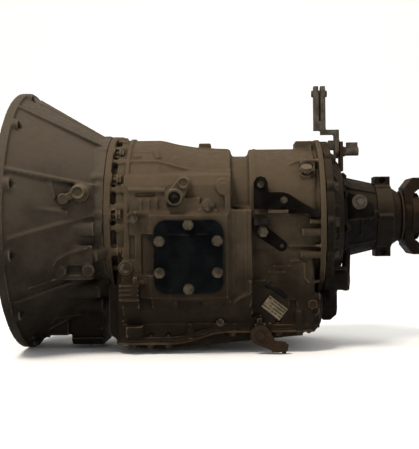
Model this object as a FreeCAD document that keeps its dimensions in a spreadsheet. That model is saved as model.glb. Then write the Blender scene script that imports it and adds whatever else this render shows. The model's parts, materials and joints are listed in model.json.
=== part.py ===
import FreeCAD, Part
import math
import os
import Sketcher

# Heavy-duty automatic transmission with torque converter, three planetary sets and an end yoke.
# Frame: X runs along the shafts towards the output yoke, Z is up, the origin is the centre of the
# engine mounting face.  Every size lives in the spreadsheet "dims" and reaches the model as an expression.

doc = FreeCAD.newDocument("transmission")
sheet = doc.addObject("Spreadsheet::Sheet", "dims")


class Size:
    """A number that remembers the spreadsheet expression it comes from."""

    def __init__(self, value, text):
        self.value = float(value)
        self.text = text

    def __add__(self, other):
        other = as_size(other)
        return Size(self.value + other.value, f"({self.text} + {other.text})")

    def __sub__(self, other):
        other = as_size(other)
        return Size(self.value - other.value, f"({self.text} - {other.text})")

    def __mul__(self, other):
        other = as_size(other)
        return Size(self.value * other.value, f"({self.text} * {other.text})")

    def __truediv__(self, other):
        other = as_size(other)
        return Size(self.value / other.value, f"({self.text} / {other.text})")

    def __neg__(self):
        return Size(-self.value, f"(0 - {self.text})")

    def __radd__(self, other):
        return as_size(other) + self

    def __rsub__(self, other):
        return as_size(other) - self

    def __rmul__(self, other):
        return as_size(other) * self


def as_size(number):
    """Wraps a plain number so that it can be used where a Size is expected."""
    if isinstance(number, Size):
        return number
    return Size(number, f"({float(number):.6f})")


def cosine(angle):
    """Cosine of a Size in degrees, as a Size."""
    return Size(math.cos(math.radians(angle.value)), f"cos({angle.text} * 1 deg)")


def sine(angle):
    """Sine of a Size in degrees, as a Size."""
    return Size(math.sin(math.radians(angle.value)), f"sin({angle.text} * 1 deg)")


class Sizes:
    """Fills the spreadsheet and hands the named sizes back as attributes."""

    def __init__(self):
        self.row = 1

    def heading(self, text):
        sheet.set(f"A{self.row}", text)
        self.row += 1

    def add(self, **named):
        for alias, value in named.items():
            cell = f"B{self.row}"
            sheet.set(f"A{self.row}", alias.replace("_", " "))
            sheet.set(cell, str(value))
            sheet.setAlias(cell, alias)
            setattr(self, alias, Size(value, f"dims.{alias}"))
            self.row += 1

    def table(self, prefix, fields, rows):
        """Names every value of a small table prefix_1_field and returns the rows as tuples of Size."""
        result = []
        for index, row in enumerate(rows, start=1):
            names = [f"{prefix}_{index}_{field}" for field in fields]
            self.add(**dict(zip(names, row)))
            result.append(tuple(getattr(self, name) for name in names))
        return result


d = Sizes()

d.heading("Engine flange and bell, SAE number 2 pattern")
d.add(flange_r=244.5, flange_thick=16, pilot_r=223.8, pilot_length=5, mouth_r=214.8,
      flange_bolt_circle_r=233.35, flange_bolt_count=12, flange_hole_r=5.35,
      flange_first_angle=15, spot_face_r=9.5, spot_face_end=27, cone_front_r=238, cone_rear_r=158,
      cone_end=152, mouth_depth=37, cavity_rear_r=149, cavity_end=146, bell_wall_front=150,
      bell_wall_rear=162, joint=170, joint_r=160, joint_thick=14, pump_bore_r=100,
      case_bore_r=118, gusset_thick=7, belly_start=33, belly_end=88, belly_bottom=-217,
      belly_half=64, belly_top=-140, foot_start=92, foot_end=152, foot_bottom=-236, foot_half=52,
      foot_ledge=8)

d.heading("Main case")
d.add(case_flange_end=182, case_r=151, case_web_r=143, case_rib_start=191, case_rib_end=199,
      case_rib_r=154, case_taper_start=265, case_mid_x=295, case_mid_r=143, case_waist_x=330,
      case_waist_r=137, case_rear_x=394, case_rear_r=133, neck_start=398, neck_end=426,
      neck_r=120, drum_start=430, drum_r=133, case_end=566, rear_flange_start=556,
      rear_flange_r=150, bore_front_end=202, bore_wide_r=134, bore_wide_end=258, bore_mid_x=296,
      bore_mid_r=125, bore_neck_x=392, bore_neck_r=111, bore_rear_start=434, bore_rear_r=121,
      side_wall_start=201, side_wall_end=396, rear_wall_end=432, rear_wall_top=14, toe_half=104,
      toe_top=-120, side_wall_half=150, side_wall_top=76, side_wall_bottom=-174,
      side_wall_depth=60, side_wall_slope=26, side_wall_crown=18, skirt_start=186, skirt_end=546,
      skirt_half=121, skirt_top=-60, skirt_wall=9, skirt_cavity_top=-92, rail_half=127,
      rail_height=9, seam_front=-222, seam_rear=-202, step_start=290, step_end=385, pad_start=252,
      pad_end=389, pad_bottom=-141, pad_top=5, pad_face=163.5, window_start=274, window_end=367,
      window_bottom=-120, window_top=-17, top_boss_start=334, top_boss_end=357,
      top_boss_height=145, top_boss_half=20, hump_top_start=519, hump_top_end=562,
      hump_top_height=146, hump_top_half=34)

d.heading("Pan")
d.add(gasket_thick=1.5, pan_flange_thick=4, pan_end_x=548, pan_front_x=184, bowl_start=200,
      bowl_end=532, bowl_half=109.5, bowl_deep_x=262, bowl_deep=-238, bowl_mid_x=400,
      bowl_mid=-226, bowl_rear=-216, sheet_wall=2.5, pan_corner_r=26, rail_edge=118.5)

d.heading("Power take-off cover")
d.add(cover_x=320.6, cover_z=-68.3, cover_length=122.3, cover_height=129.4, cover_thick=7,
      cover_corner_r=22, cover_bolt_x=50.7, cover_bolt_z=27.7, cover_bolt_end_z=56.3,
      cover_bead_length=74, cover_bead_z=36.5, cover_bead_height=3, cover_bead_thick=2,
      cover_dish_length=80, cover_dish_height=84, cover_dish_depth=1.5)

d.heading("Fasteners")
d.add(fit_gap=0.1, press_gap=0.05, bracket_bolt_collar=0.8, bracket_bolt_washer=1.5, flange_bolt_r=5,
      flange_bolt_head_r=9.2, flange_bolt_washer_r=9.8, flange_bolt_washer=2.5,
      flange_bolt_head=8, hole_gap=0.3, small_bolt_r=4, small_bolt_head_r=7.4,
      small_bolt_washer_r=8.4, small_bolt_washer=2, small_bolt_head=6.5, bracket_bolt_head_r=5.6,
      bracket_bolt_head=3.5, joint_bolt_circle_r=149.5, joint_boss_r=11, joint_bolt_grip=12,
      rear_bolt_circle_r=139, bolt_grip=14)

d.heading("Rear cover and extension")
d.add(rear_cover_thick=15, rear_cover_r=147, rear_dome_end=603, rear_dome_r=104, rear_skirt_bottom=-196,
      rear_skirt_half=70, rear_wall=9, rear_bore_r=46, rear_lobe_y=-74, rear_lobe_z=-116,
      rear_lobe_r=20, rear_lobe_length=44, rear_plug_r=14, plug_thick=4, lug_hole_r=6.5,
      lug_hole_offset=5, extension_front=603, extension_end=672, extension_front_z=76,
      extension_rear_z=62, extension_bore_r=44, extension_rib_half=9, extension_rib_height=4,
      ring_start=672, ring_end=702, ring_r=64, ring_lug_z=77, ring_lug_half=20, ring_bore_r=41,
      nose_end=720, nose_front_r=58, nose_rear_r=46, nose_bore_r=36, seal_inner_r=33, seal_width=9,
      seal_start=706)

d.heading("Converter and pump")
d.add(converter_r=148, shell_wall=5, cover_face=22, cover_shoulder=40, converter_split=78,
      impeller_shoulder=104, impeller_rear=138, hub_r=27, hub_end=174, crank_pilot_r=20,
      crank_pilot_start=6, lug_circle_r=112, lug_r=12, lug_length=9, lug_count=6, pump_front=140,
      pump_chamber_start=163, pump_chamber_end=175, pump_neck_r=60, pump_hole_gap=0.6,
      pump_disc_r=117.5, pump_nose_r=99.5, support_end=196, support_tube_start=88,
      support_tube_r=22, support_tube_inner_r=18, pump_module=3, pump_drive_teeth=24,
      pump_driven_teeth=33, pump_rim=8, pump_gap=0.35, stator_hub_r=34, stator_outer_r=66,
      stator_start=98, stator_end=114, stator_blade_count=14, blade_count=24, blade_thick=2)

d.heading("Shafts and planetary sets")
d.add(input_shaft_r=15, input_shaft_start=52, input_shaft_end=302, drum_wall_start=204,
      drum_wall_end=212, clutch_drum_r=116, clutch_drum_wall=6, clutch_drum_end=284,
      clutch_hub_r=30, spline_count=18, main_shaft_r=14, main_shaft_end=420, gear_module=2,
      gear_width=20, first_sun_teeth=48, first_planet_teeth=21, other_sun_teeth=36,
      other_planet_teeth=27, ring_teeth=90, gear_backlash=0.3, first_set_x=312, second_set_x=353,
      third_set_x=394, ring_rim_r=100, carrier_plate=7, carrier_r=84, carrier_side_gap=2.5,
      pin_r=8, pin_gap=0.4, parking_teeth=18, parking_r=88, parking_root_r=76, parking_start=430,
      parking_end=444, output_shaft_r=24, output_neck_r=19, plate_outer_r=110.4,
      plate_inner_r=101, plate_count=6, plate_thick=2.4, plate_gap=2.4, bearing_start=572,
      bearing_width=22, bearing_outer_r=45.8, bearing_mid_r=34, bearing_ball_r=3.3,
      bearing_ball_count=16, thread_r=14, output_shaft_start=424.5, output_neck_start=700,
      parking_hub_r=34, plate_start=386)

d.heading("Valve body")
d.add(valve_bore_r=7, valve_bore_length=250, valve_bore_start=210, valve_bore_z=-172)

d.heading("Yoke")
d.add(yoke_start=709, yoke_hub_r=32.4, yoke_hub_end=744, yoke_barrel_r=40, shield_r=50,
      ear_root=56, ear_slope=14,
      ear_bend=757, ear_foot=42,
      shield_start=721, shield_end=725, ear_start=728, ear_end=790, ear_outer=73.6,
      ear_inner=53.2, ear_half=34, saddle_r=17.46, ear_bolt_y=25, ear_bolt_r=4.3,
      ear_bolt_depth=22, yoke_spline_r=19.3, nut_start=745, nut_length=16, nut_across_r=26)

d.heading("Levers, brackets and sensors")
d.add(selector_x=451.6, selector_z=-26.2, selector_shaft_r=7, selector_hub_r=12.4, selector_arm=41.5,
      selector_arm_angle=-36.7, selector_end_r=10.3, selector_face=153, selector_plate=6,
      selector_pin_hole_r=4, selector_nut_r=9.8, selector_nut=8, selector_inner=96, detent_arm=34,
      bracket_thick=5, brake_arm_top=250, brake_shaft_y=-30, brake_shaft_z=125, brake_plate=9,
      brake_front_x=555, brake_rear_x=568, brake_hub_x=593.5, brake_cap_x=615, brake_arm_bottom=166,
      brake_crank_z=158, brake_shaft_r=7.5, brake_cap_r=8.4, brake_half=13, sensor_flange_r=16,
      sensor_hole_r=9, sensor_boss_start=110, sensor_boss_length=68, output_boss_r=15.4,
      output_hole_r=8, bracket_face=144, lip_start=500, lip_end=552, lip_width=16, lip_bottom=6,
      lip_thick=3, detent_half=7, detent_thick=5, lower_bracket_x=446, lower_bracket_z=-211,
      lower_bracket_face=136, lower_disc_r=18, lower_plate=5, label_x=472, label_z=-150,
      label_length=41, label_height=26, label_thick=0.6, label_angle=-38.5, breather_x=533,
      breather_root_y=-96, breather_root_z=50, breather_rise=34, breather_tilt=31,
      breather_dome_r=13, breather_top_r=10, breather_dome=5, breather_stem=9)
sheet.recompute()


# ---------------------------------------------------------------------------------------------- helpers

def bind(thing, **sizes):
    """Drives properties of an object from the spreadsheet."""
    for prop, size in sizes.items():
        thing.setExpression(prop, as_size(size).text)


def place(thing, x=0, y=0, z=0):
    """Drives the position of an object from the spreadsheet."""
    for axis, size in zip("xyz", (x, y, z)):
        thing.setExpression("Placement.Base." + axis, as_size(size).text)


DIRECTIONS = {
    "x": FreeCAD.Rotation(FreeCAD.Vector(0, 1, 0), 90),
    "-x": FreeCAD.Rotation(FreeCAD.Vector(0, 1, 0), -90),
    "y": FreeCAD.Rotation(FreeCAD.Vector(1, 0, 0), -90),
    "-y": FreeCAD.Rotation(FreeCAD.Vector(1, 0, 0), 90),
    "z": FreeCAD.Rotation(),
    "-z": FreeCAD.Rotation(FreeCAD.Vector(1, 0, 0), 180),
}


def cylinder(name, radius, length, at, along="x"):
    """A round bar of the given length that starts at a point and runs along one direction."""
    bar = doc.addObject("Part::Cylinder", name)
    bar.Placement = FreeCAD.Placement(FreeCAD.Vector(), DIRECTIONS[along])
    bind(bar, Radius=radius, Height=length)
    place(bar, *at)
    return bar


def cone(name, start_r, end_r, length, at, along="x"):
    """A round taper that starts at a point and runs along one direction."""
    taper = doc.addObject("Part::Cone", name)
    taper.Placement = FreeCAD.Placement(FreeCAD.Vector(), DIRECTIONS[along])
    bind(taper, Radius1=start_r, Radius2=end_r, Height=length)
    place(taper, *at)
    return taper


def block(name, x, y, z):
    """A box between low and high values on each axis."""
    box = doc.addObject("Part::Box", name)
    low = [as_size(pair[0]) for pair in (x, y, z)]
    high = [as_size(pair[1]) for pair in (x, y, z)]
    bind(box, Length=high[0] - low[0], Width=high[1] - low[1], Height=high[2] - low[2])
    place(box, *low)
    return box


def blocks(prefix, rows):
    """Boxes from table rows with the six box fields."""
    return [block(f"{prefix}_{index}", row[0:2], row[2:4], row[4:6]) for index, row in enumerate(rows)]


def bars(prefix, rows, along):
    """Round bars from table rows with the five bar fields."""
    return [cylinder(f"{prefix}_{index}", radius, length, (x, y, z), along)
            for index, (x, y, z, radius, length) in enumerate(rows)]


def joined(name, parts):
    """All parts fused into one."""
    fuse = doc.addObject("Part::MultiFuse", name)
    fuse.Shapes = parts
    return fuse


def without(name, base, tools):
    """The base with one or more tools cut away."""
    cut = doc.addObject("Part::Cut", name)
    cut.Base = base
    cut.Tool = tools[0] if len(tools) == 1 else grouped(name + "_tools", tools)
    return cut


def overlap(name, first, second):
    """What two shapes have in common."""
    common = doc.addObject("Part::Common", name)
    common.Base = first
    common.Tool = second
    return common


def grouped(name, parts):
    """Separate solids kept in one object."""
    group = doc.addObject("Part::Compound", name)
    group.Links = parts
    return group


def origin_plane(body, role):
    """One of the three origin planes of a body."""
    for feature in body.Origin.OriginFeatures:
        if feature.Role == role + "_Plane":
            return feature
    raise ValueError(role)


def outline(body, points, plane="XY"):
    """A closed polygon sketch on an origin plane, with every corner placed from the spreadsheet."""
    sketch = body.newObject("Sketcher::SketchObject", body.Name + "_sketch")
    sketch.AttachmentSupport = (origin_plane(body, plane), [""])
    sketch.MapMode = "FlatFace"
    corners = [(as_size(u), as_size(v)) for u, v in points]
    spots = [FreeCAD.Vector(u.value, v.value, 0) for u, v in corners]
    sketch.addGeometry([Part.LineSegment(a, b) for a, b in zip(spots, spots[1:] + spots[:1])], False)
    rules = []
    for index, (u, v) in enumerate(corners):
        rules.append(Sketcher.Constraint("Coincident", index, 2, (index + 1) % len(corners), 1))
        rules.append(Sketcher.Constraint("DistanceX", -1, 1, index, 1, u.value))
        rules.append(Sketcher.Constraint("DistanceY", -1, 1, index, 1, v.value))
    sketch.addConstraint(rules)
    for index, (u, v) in enumerate(corners):
        sketch.setExpression(f"Constraints[{3 * index + 1}]", u.text)
        sketch.setExpression(f"Constraints[{3 * index + 2}]", v.text)
    return sketch


def turned(name, points, angle=360):
    """A body of revolution about the X axis from corners given as (x, radius)."""
    body = doc.addObject("PartDesign::Body", name)
    sketch = outline(body, points)
    turn = body.newObject("PartDesign::Revolution", name + "_turn")
    turn.Profile = sketch
    turn.ReferenceAxis = (sketch, ["H_Axis"])
    turn.Angle = angle
    return body


def padded(name, points, plane, low, high):
    """A polygon extruded between two heights along the axis square to its plane."""
    body = doc.addObject("PartDesign::Body", name)
    sketch = outline(body, points, plane)
    low, high = as_size(low), as_size(high)
    start = -high if plane == "XZ" else low
    sketch.setExpression("AttachmentOffset.Base.z", start.text)
    pad = body.newObject("PartDesign::Pad", name + "_pad")
    pad.Profile = sketch
    bind(pad, Length=high - low)
    return body


def rounded(name, base, radius, chosen):
    """A copy of the base with the chosen edges rounded."""
    doc.recompute()
    fillet = doc.addObject("Part::Fillet", name)
    fillet.Base = base
    size = as_size(radius).value
    fillet.Edges = [(index, size, size) for index, edge in enumerate(base.Shape.Edges, start=1)
                    if chosen(edge)]
    return fillet


def is_along(edge, axis):
    """True for a straight edge that runs along the axis."""
    if edge.Curve.TypeId != "Part::GeomLine":
        return False
    return abs(abs(edge.tangentAt(edge.FirstParameter).dot(FreeCAD.Vector(*axis))) - 1) < 1e-6


def spun(name, thing, angle, x=0, y=0, z=0):
    """A link to a thing, turned about the X axis and moved."""
    link = doc.addObject("App::Link", name)
    link.LinkedObject = thing
    link.LinkTransform = True
    turn = FreeCAD.Rotation(FreeCAD.Vector(1, 0, 0), as_size(angle).value)
    link.Placement = FreeCAD.Placement(FreeCAD.Vector(), turn)
    place(link, x, y, z)
    return link


def ring_of(name, thing, count, first_angle=0):
    """Copies of a thing evenly spaced about the X axis."""
    number = int(as_size(count).value)
    step = 360 / number
    start = as_size(first_angle).value
    return [spun(f"{name}_{index}", thing, start + step * index) for index in range(number)]


def moved(name, thing, x, y, z):
    """A link to a thing that only moves."""
    return spun(name, thing, 0, x, y, z)


def bolt(name, head_r, head, washer_r, washer, shank_r, grip, along):
    """A hexagon flange bolt at the origin; it points along the direction, seated on the origin plane."""
    back = {"x": "-x", "-x": "x", "y": "-y", "-y": "y", "z": "-z", "-z": "z"}[along]
    collar = cylinder(name + "_collar", washer_r, washer, (0, 0, 0), back)
    hexagon = doc.addObject("Part::Prism", name + "_hexagon")
    hexagon.Polygon = 6
    hexagon.Placement = FreeCAD.Placement(FreeCAD.Vector(), DIRECTIONS[back])
    bind(hexagon, Circumradius=head_r, Height=head)
    shank = cylinder(name + "_shank", shank_r, grip, (0, 0, 0), along)
    return joined(name, [collar, hexagon, shank])


def large_bolt(name, grip, along):
    return bolt(name, d.flange_bolt_head_r, d.flange_bolt_head, d.flange_bolt_washer_r,
                d.flange_bolt_washer, d.flange_bolt_r, grip, along)


def small_bolt(name, grip, along):
    return bolt(name, d.small_bolt_head_r, d.small_bolt_head, d.small_bolt_washer_r,
                d.small_bolt_washer, d.small_bolt_r, grip, along)


def bolt_hole(name, shank_r, grip, along):
    """The clearance hole for a bolt, a little deeper than its shank."""
    return cylinder(name, shank_r + d.hole_gap, grip + 1, (0, 0, 0), along)


def gear_points(teeth, module, addendum, dedendum, thinning):
    """Corners of an involute gear outline; thinning is taken off each tooth at the pitch circle."""
    pressure = math.radians(20)
    pitch_r = teeth * module / 2
    base_r = pitch_r * math.cos(pressure)
    radii = [pitch_r - dedendum, pitch_r - 0.55 * dedendum, pitch_r, pitch_r + 0.55 * addendum,
             pitch_r + addendum]
    half_pitch_angle = (math.pi * module / 2 - thinning) / 2 / pitch_r

    def half_angle(radius):
        flank = math.acos(min(1.0, base_r / max(radius, base_r)))
        involute = math.tan(flank) - flank
        at_pitch = math.tan(pressure) - pressure
        return half_pitch_angle + at_pitch - involute

    points = []
    for tooth in range(teeth):
        centre = 2 * math.pi * tooth / teeth
        for radius in radii:
            points.append((radius, centre - half_angle(radius)))
        for radius in reversed(radii):
            points.append((radius, centre + half_angle(radius)))
    return points


def gear_blank(name, teeth, module, addendum, dedendum, thinning, start, width, turn=0.0, y=0.0, z=0.0):
    """A toothed prism about an axis along X, with its outline computed from the spreadsheet sizes."""
    count = int(as_size(teeth).value)
    outline_points = gear_points(count, as_size(module).value, as_size(addendum).value,
                                 as_size(dedendum).value, as_size(thinning).value)
    spots = [FreeCAD.Vector(0, radius * math.cos(angle + turn), radius * math.sin(angle + turn))
             for radius, angle in outline_points]
    face = Part.Face(Part.makePolygon(spots + spots[:1]))
    blank = doc.addObject("Part::Feature", name)
    blank.Shape = face.extrude(FreeCAD.Vector(as_size(width).value, 0, 0))
    place(blank, start, y, z)
    return blank


def tube(name, outer_r, inner_r, start, end):
    """A plain ring about the X axis."""
    return turned(name, [(start, inner_r), (end, inner_r), (end, outer_r), (start, outer_r)])


NODES = {}


def keep(node, thing):
    """Marks a finished sub-part under its node name."""
    thing.Label = node
    NODES[node] = thing
    return thing


# ------------------------------------------------------------------------------------ bell and main case

gusset_angles = d.table("gusset", ["angle"], [[32], [69], [127], [158], [-32], [-69], [-91], [-127],
                                              [-158]])
joint_bolt_angles = d.table("joint_bolt", ["angle"], [[12], [37], [62], [87], [112], [-12], [-37], [-62],
                                                      [-87], [-112]])
rear_bolt_angles = d.table("rear_bolt", ["angle"], [[40], [68], [94], [119], [-12], [-40], [-68],
                                                    [-94], [-119], [-143]])
bell_bosses = d.table("bell_boss", ["start", "end", "y", "z", "r"],
                      [[112, 156, -166, -17, 13], [80, 158, -122, -127, 15], [92, 156, -70, -158, 15],
                       [112, 156, 166, -17, 13], [80, 158, 122, -127, 15]])
side_bosses = d.table("side_boss", ["x", "z", "r", "face"],
                      [[355, 21, 12, 158], [382, 56, 14, 155], [222, 1, 10, 157], [208, -87, 13, 156],
                       [313, 60, 13, 157], [296, 37, 17, 160], [449, 58, 12, 144], [490, 30, 11, 144],
                       [541, -158, 9, 128], [374, -188, 9, 128], [446, -190, 10, 136]])
BOX = ["start", "end", "low_y", "high_y", "bottom", "top"]
BAR = ["x", "y", "z", "r", "length"]
bell_pads = d.table("bell_pad", BOX, [[84, 152, -172, -100, -106, -46], [84, 152, 100, 172, -106, -46]])
case_pads = d.table("case_pad", BOX, [[276, 341, -156, -100, -4, 36], [385, 394, -157, -100, -150, 56],
                                      [196, 232, -156, -100, -146, -116], [293, 301, -156, -100, -172, -130],
                                      [346, 354, -156, -100, -172, -130]])
rear_pads = d.table("rear_pad", BOX, [[566, 594, -118, -60, -42, -2], [566, 598, -112, -60, 2, 9]])
valve_blocks = d.table("valve_block", BOX, [[215, 456, -86, 86, -160, -138], [228, 430, -70, 70, -188, -158],
                                            [240, 330, -55, 55, -206, -187]])
switch_blocks = d.table("switch", BOX, [[436, 463, -151, -133.3, -14.8, -2]])
input_sensor_arms = d.table("input_arm", BOX, [[106, 133, -196, -190, 30, 43]])
input_sensor_bars = d.table("input_sensor", BAR, [[133, -154, 46, 8, 26], [133, -178, 46, 14, 4],
                                                  [133, -182, 46, 11.5, 16], [107, -190, 36, 8.5, 14]])
turbine_sensor_bars = d.table("turbine_sensor", BAR, [[296, -126, 37, 8, 34], [296, -160, 37, 16, 4],
                                                      [296, -164, 37, 11, 10], [313, -160, 62, 12, 4],
                                                      [313, -164, 62, 6, 4]])
turbine_sensor_web = d.table("sensor_web", ["x", "z"], [[281, 43], [303, 68], [323, 55], [309, 28]])
output_sensor_bars = d.table("output_sensor", BAR, [[634, -40, 27, 7, 40], [634, -80, 27, 14, 4],
                                                    [634, -84, 27, 6, 12]])
breather_bars = d.table("breather", BAR, [[0, 0, 0, 8, 9], [0, 0, 5, 10, 3]])
side_plugs = d.table("side_plug", BAR, [[374, -128, -188, 7, 4], [208, -156, -87, 9, 4],
                                        [222, -157, 1, 8, 4], [355, -158, 21, 9, 5]])
bracket_outline = d.table("bracket_corner", ["x", "z"], [
    [436.5, 14.5], [461.7, 14.5], [466, 18.5], [496, 18.5], [520, 12], [551, -3], [554, 8], [524, 24],
    [500, 40], [489, 44], [461.7, 44], [461.7, 62], [457, 70], [449, 73], [441, 70], [436.5, 62]])
bracket_bolt_places = d.table("bracket_bolt", ["x", "z"], [[449, 58], [490, 30]])
lower_arm_outline = d.table("lower_arm", ["x", "z"], [
    [2, 15], [18, 6], [26, -10], [44, -12], [50, -18], [48, -28], [30, -31], [12, -24], [-6, -16]])
impeller_blade_outline = d.table("impeller_blade", ["x", "r"], [
    [96, 70], [96, 142.4], [101.4, 141.4], [122.6, 113.3], [133, 70]])
turbine_outline = d.table("turbine", ["x", "r"], [
    [56, 15.1], [56, 28], [66, 32], [60, 60], [58, 100], [66, 130], [80, 138], [92, 138], [92, 134],
    [80, 133], [69, 126], [62, 99], [64, 62], [70, 34], [88, 28], [88, 15.1]])
turbine_vane_outline = d.table("turbine_vane", ["x", "r"], [
    [91, 40], [69.5, 38], [63.7, 62], [61.7, 99], [68.6, 126.4], [79.8, 133.4], [91, 134.3]])
rear_pegs = d.table("rear_peg", ["start", "y", "z", "r"],
                    [[522, -134, -28, 8], [520, -124, -68, 7], [536, -139, -8, 5], [522, -96, 98, 8],
                     [522, 134, -28, 8], [520, 124, -68, 7], [522, 96, 98, 8]])
pan_bolt_places = d.table("pan_bolt", ["x", "side"],
                          [[216, -1], [248, -1], [280, -1], [396, -1], [437, -1], [478, -1], [516, -1],
                           [216, 1], [248, 1], [280, 1], [396, 1], [437, 1], [478, 1], [516, 1]])
sheet.recompute()


def seam(drop=0):
    """Corners of the stepped seam between case and pan, from front to rear, lowered by a drop."""
    rise = d.seam_rear - d.seam_front
    length = d.step_end - d.step_start
    shares = [(0, 0), (0.23, 0.125), (0.5, 0.5), (0.77, 0.875), (1, 1)]
    return [(d.step_start + length * along, d.seam_front + rise * up - drop) for along, up in shares]


def seam_band(name, start, end, half, top_drop, bottom_drop):
    """A plate that follows the seam, between two drops below it."""
    top = [(start, d.seam_front - top_drop)] + seam(top_drop) + [(end, d.seam_rear - top_drop)]
    bottom = [(start, d.seam_front - bottom_drop)] + seam(bottom_drop) + [(end, d.seam_rear - bottom_drop)]
    return padded(name, top + bottom[::-1], "XZ", -half, half)


def plan_block():
    """The rounded outline of the pan rail, seen from below, as a tall block."""
    plan = block("plan_block", (d.pan_front_x, d.pan_end_x), (-d.rail_half, d.rail_half), (-260, -50))
    return rounded("plan_rounded", plan, d.pan_corner_r, lambda edge: is_along(edge, (0, 0, 1)))


pan_plan = plan_block()


def joint_bolt_tools(prefix, start, end, r):
    """Cylinders along X at every bolt of the bell joint."""
    tool = cylinder(prefix, r, end - start, (start, 0, d.joint_bolt_circle_r))
    return [spun(f"{prefix}_{index}", tool, angle) for index, (angle,) in enumerate(joint_bolt_angles)]


def converter_housing():
    mass = turned("bell_mass", [
        (-d.pilot_length, 0), (-d.pilot_length, d.pilot_r), (0, d.pilot_r), (0, d.flange_r),
        (d.flange_thick, d.flange_r), (d.flange_thick, d.cone_front_r), (d.cone_end, d.cone_rear_r),
        (d.joint - d.joint_thick, d.joint_r), (d.joint, d.joint_r), (d.joint, 0)])
    gusset = padded("gusset", [
        (d.flange_thick - 4, d.cone_front_r - 12), (d.flange_thick - 4, d.flange_r - 3),
        (d.flange_thick + 4, d.flange_r - 4), (d.joint - 4, d.joint_r - 1), (d.joint - 4, d.joint_r - 18),
        (d.cone_end - 20, d.cone_rear_r - 4)], "XZ", -d.gusset_thick / 2, d.gusset_thick / 2)
    gussets = [spun(f"gusset_{index}", gusset, angle) for index, (angle,) in enumerate(gusset_angles)]
    bosses = [cylinder(f"bell_boss_{index}", r, end - start, (start, y, z))
              for index, (start, end, y, z, r) in enumerate(bell_bosses)]
    belly = block("belly", (d.belly_start, d.belly_end), (-d.belly_half, d.belly_half),
                  (d.belly_bottom, d.belly_top))
    foot = block("foot", (d.foot_start, d.foot_end), (-d.foot_half, d.foot_half),
                 (d.foot_bottom, d.belly_top))
    ledge = block("foot_ledge", (d.foot_start, d.foot_end), (-d.foot_half - 9, d.foot_half + 9),
                  (d.foot_bottom + 6, d.foot_bottom + 6 + d.foot_ledge))
    sensor_x, _, sensor_z, _, _ = input_sensor_bars[0]
    sensor_boss = cylinder("input_sensor_boss", d.sensor_flange_r, d.sensor_boss_length,
                           (sensor_x, -d.sensor_boss_start, sensor_z), "-y")
    cavity = turned("bell_cavity", [
        (-d.pilot_length - 1, 0), (-d.pilot_length - 1, d.mouth_r), (d.mouth_depth, d.mouth_r),
        (d.cavity_end, d.cavity_rear_r), (d.bell_wall_front, d.cavity_rear_r - 4),
        (d.bell_wall_front, d.pump_bore_r), (d.bell_wall_rear, d.pump_bore_r),
        (d.bell_wall_rear, d.case_bore_r), (d.joint + 1, d.case_bore_r), (d.joint + 1, 0)])
    flange_hole = cylinder("flange_hole", d.flange_hole_r, d.flange_thick + 2,
                           (-1, 0, d.flange_bolt_circle_r))
    spot = cylinder("spot_face", d.spot_face_r, d.spot_face_end - d.flange_thick,
                    (d.flange_thick, 0, d.flange_bolt_circle_r))
    holes = ring_of("flange_holes", flange_hole, d.flange_bolt_count, d.flange_first_angle)
    spots = ring_of("spot_faces", spot, d.flange_bolt_count, d.flange_first_angle)
    joint_holes = joint_bolt_tools("bell_joint_hole", d.joint - d.joint_bolt_grip - 1, d.joint + 1,
                                   d.flange_bolt_r + d.hole_gap)
    sensor_hole = cylinder("input_sensor_hole", d.sensor_hole_r, d.sensor_boss_length + 12,
                           (sensor_x, 10 - d.sensor_boss_start, sensor_z), "-y")
    solid = joined("bell_solid", [mass, belly, foot, ledge, sensor_boss] + gussets + bosses
                   + blocks("bell_pad", bell_pads))
    keep("converter_housing", without("converter_housing", solid, [cavity, sensor_hole] + holes + spots
                                      + joint_holes))


def side_wall(name, side):
    """The thick side of the case with its sloped shoulder, and the lower wall behind it, on one side."""
    face = d.side_wall_half * side
    inner = d.side_wall_depth * side
    front = padded(name + "_front", [
        (inner, d.side_wall_bottom), (face, d.side_wall_bottom), (face, d.side_wall_top - d.side_wall_crown),
        (face - d.side_wall_crown * 0.6 * side, d.side_wall_top),
        (inner, d.side_wall_top + d.side_wall_slope)], "YZ", d.side_wall_start, d.side_wall_end)
    rear = padded(name + "_rear", [
        (inner, d.side_wall_bottom), (face, d.side_wall_bottom), (face, d.rear_wall_top),
        (inner, d.rear_wall_top)], "YZ", d.side_wall_end - 1, d.rear_wall_end)
    return [front, rear]


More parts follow.
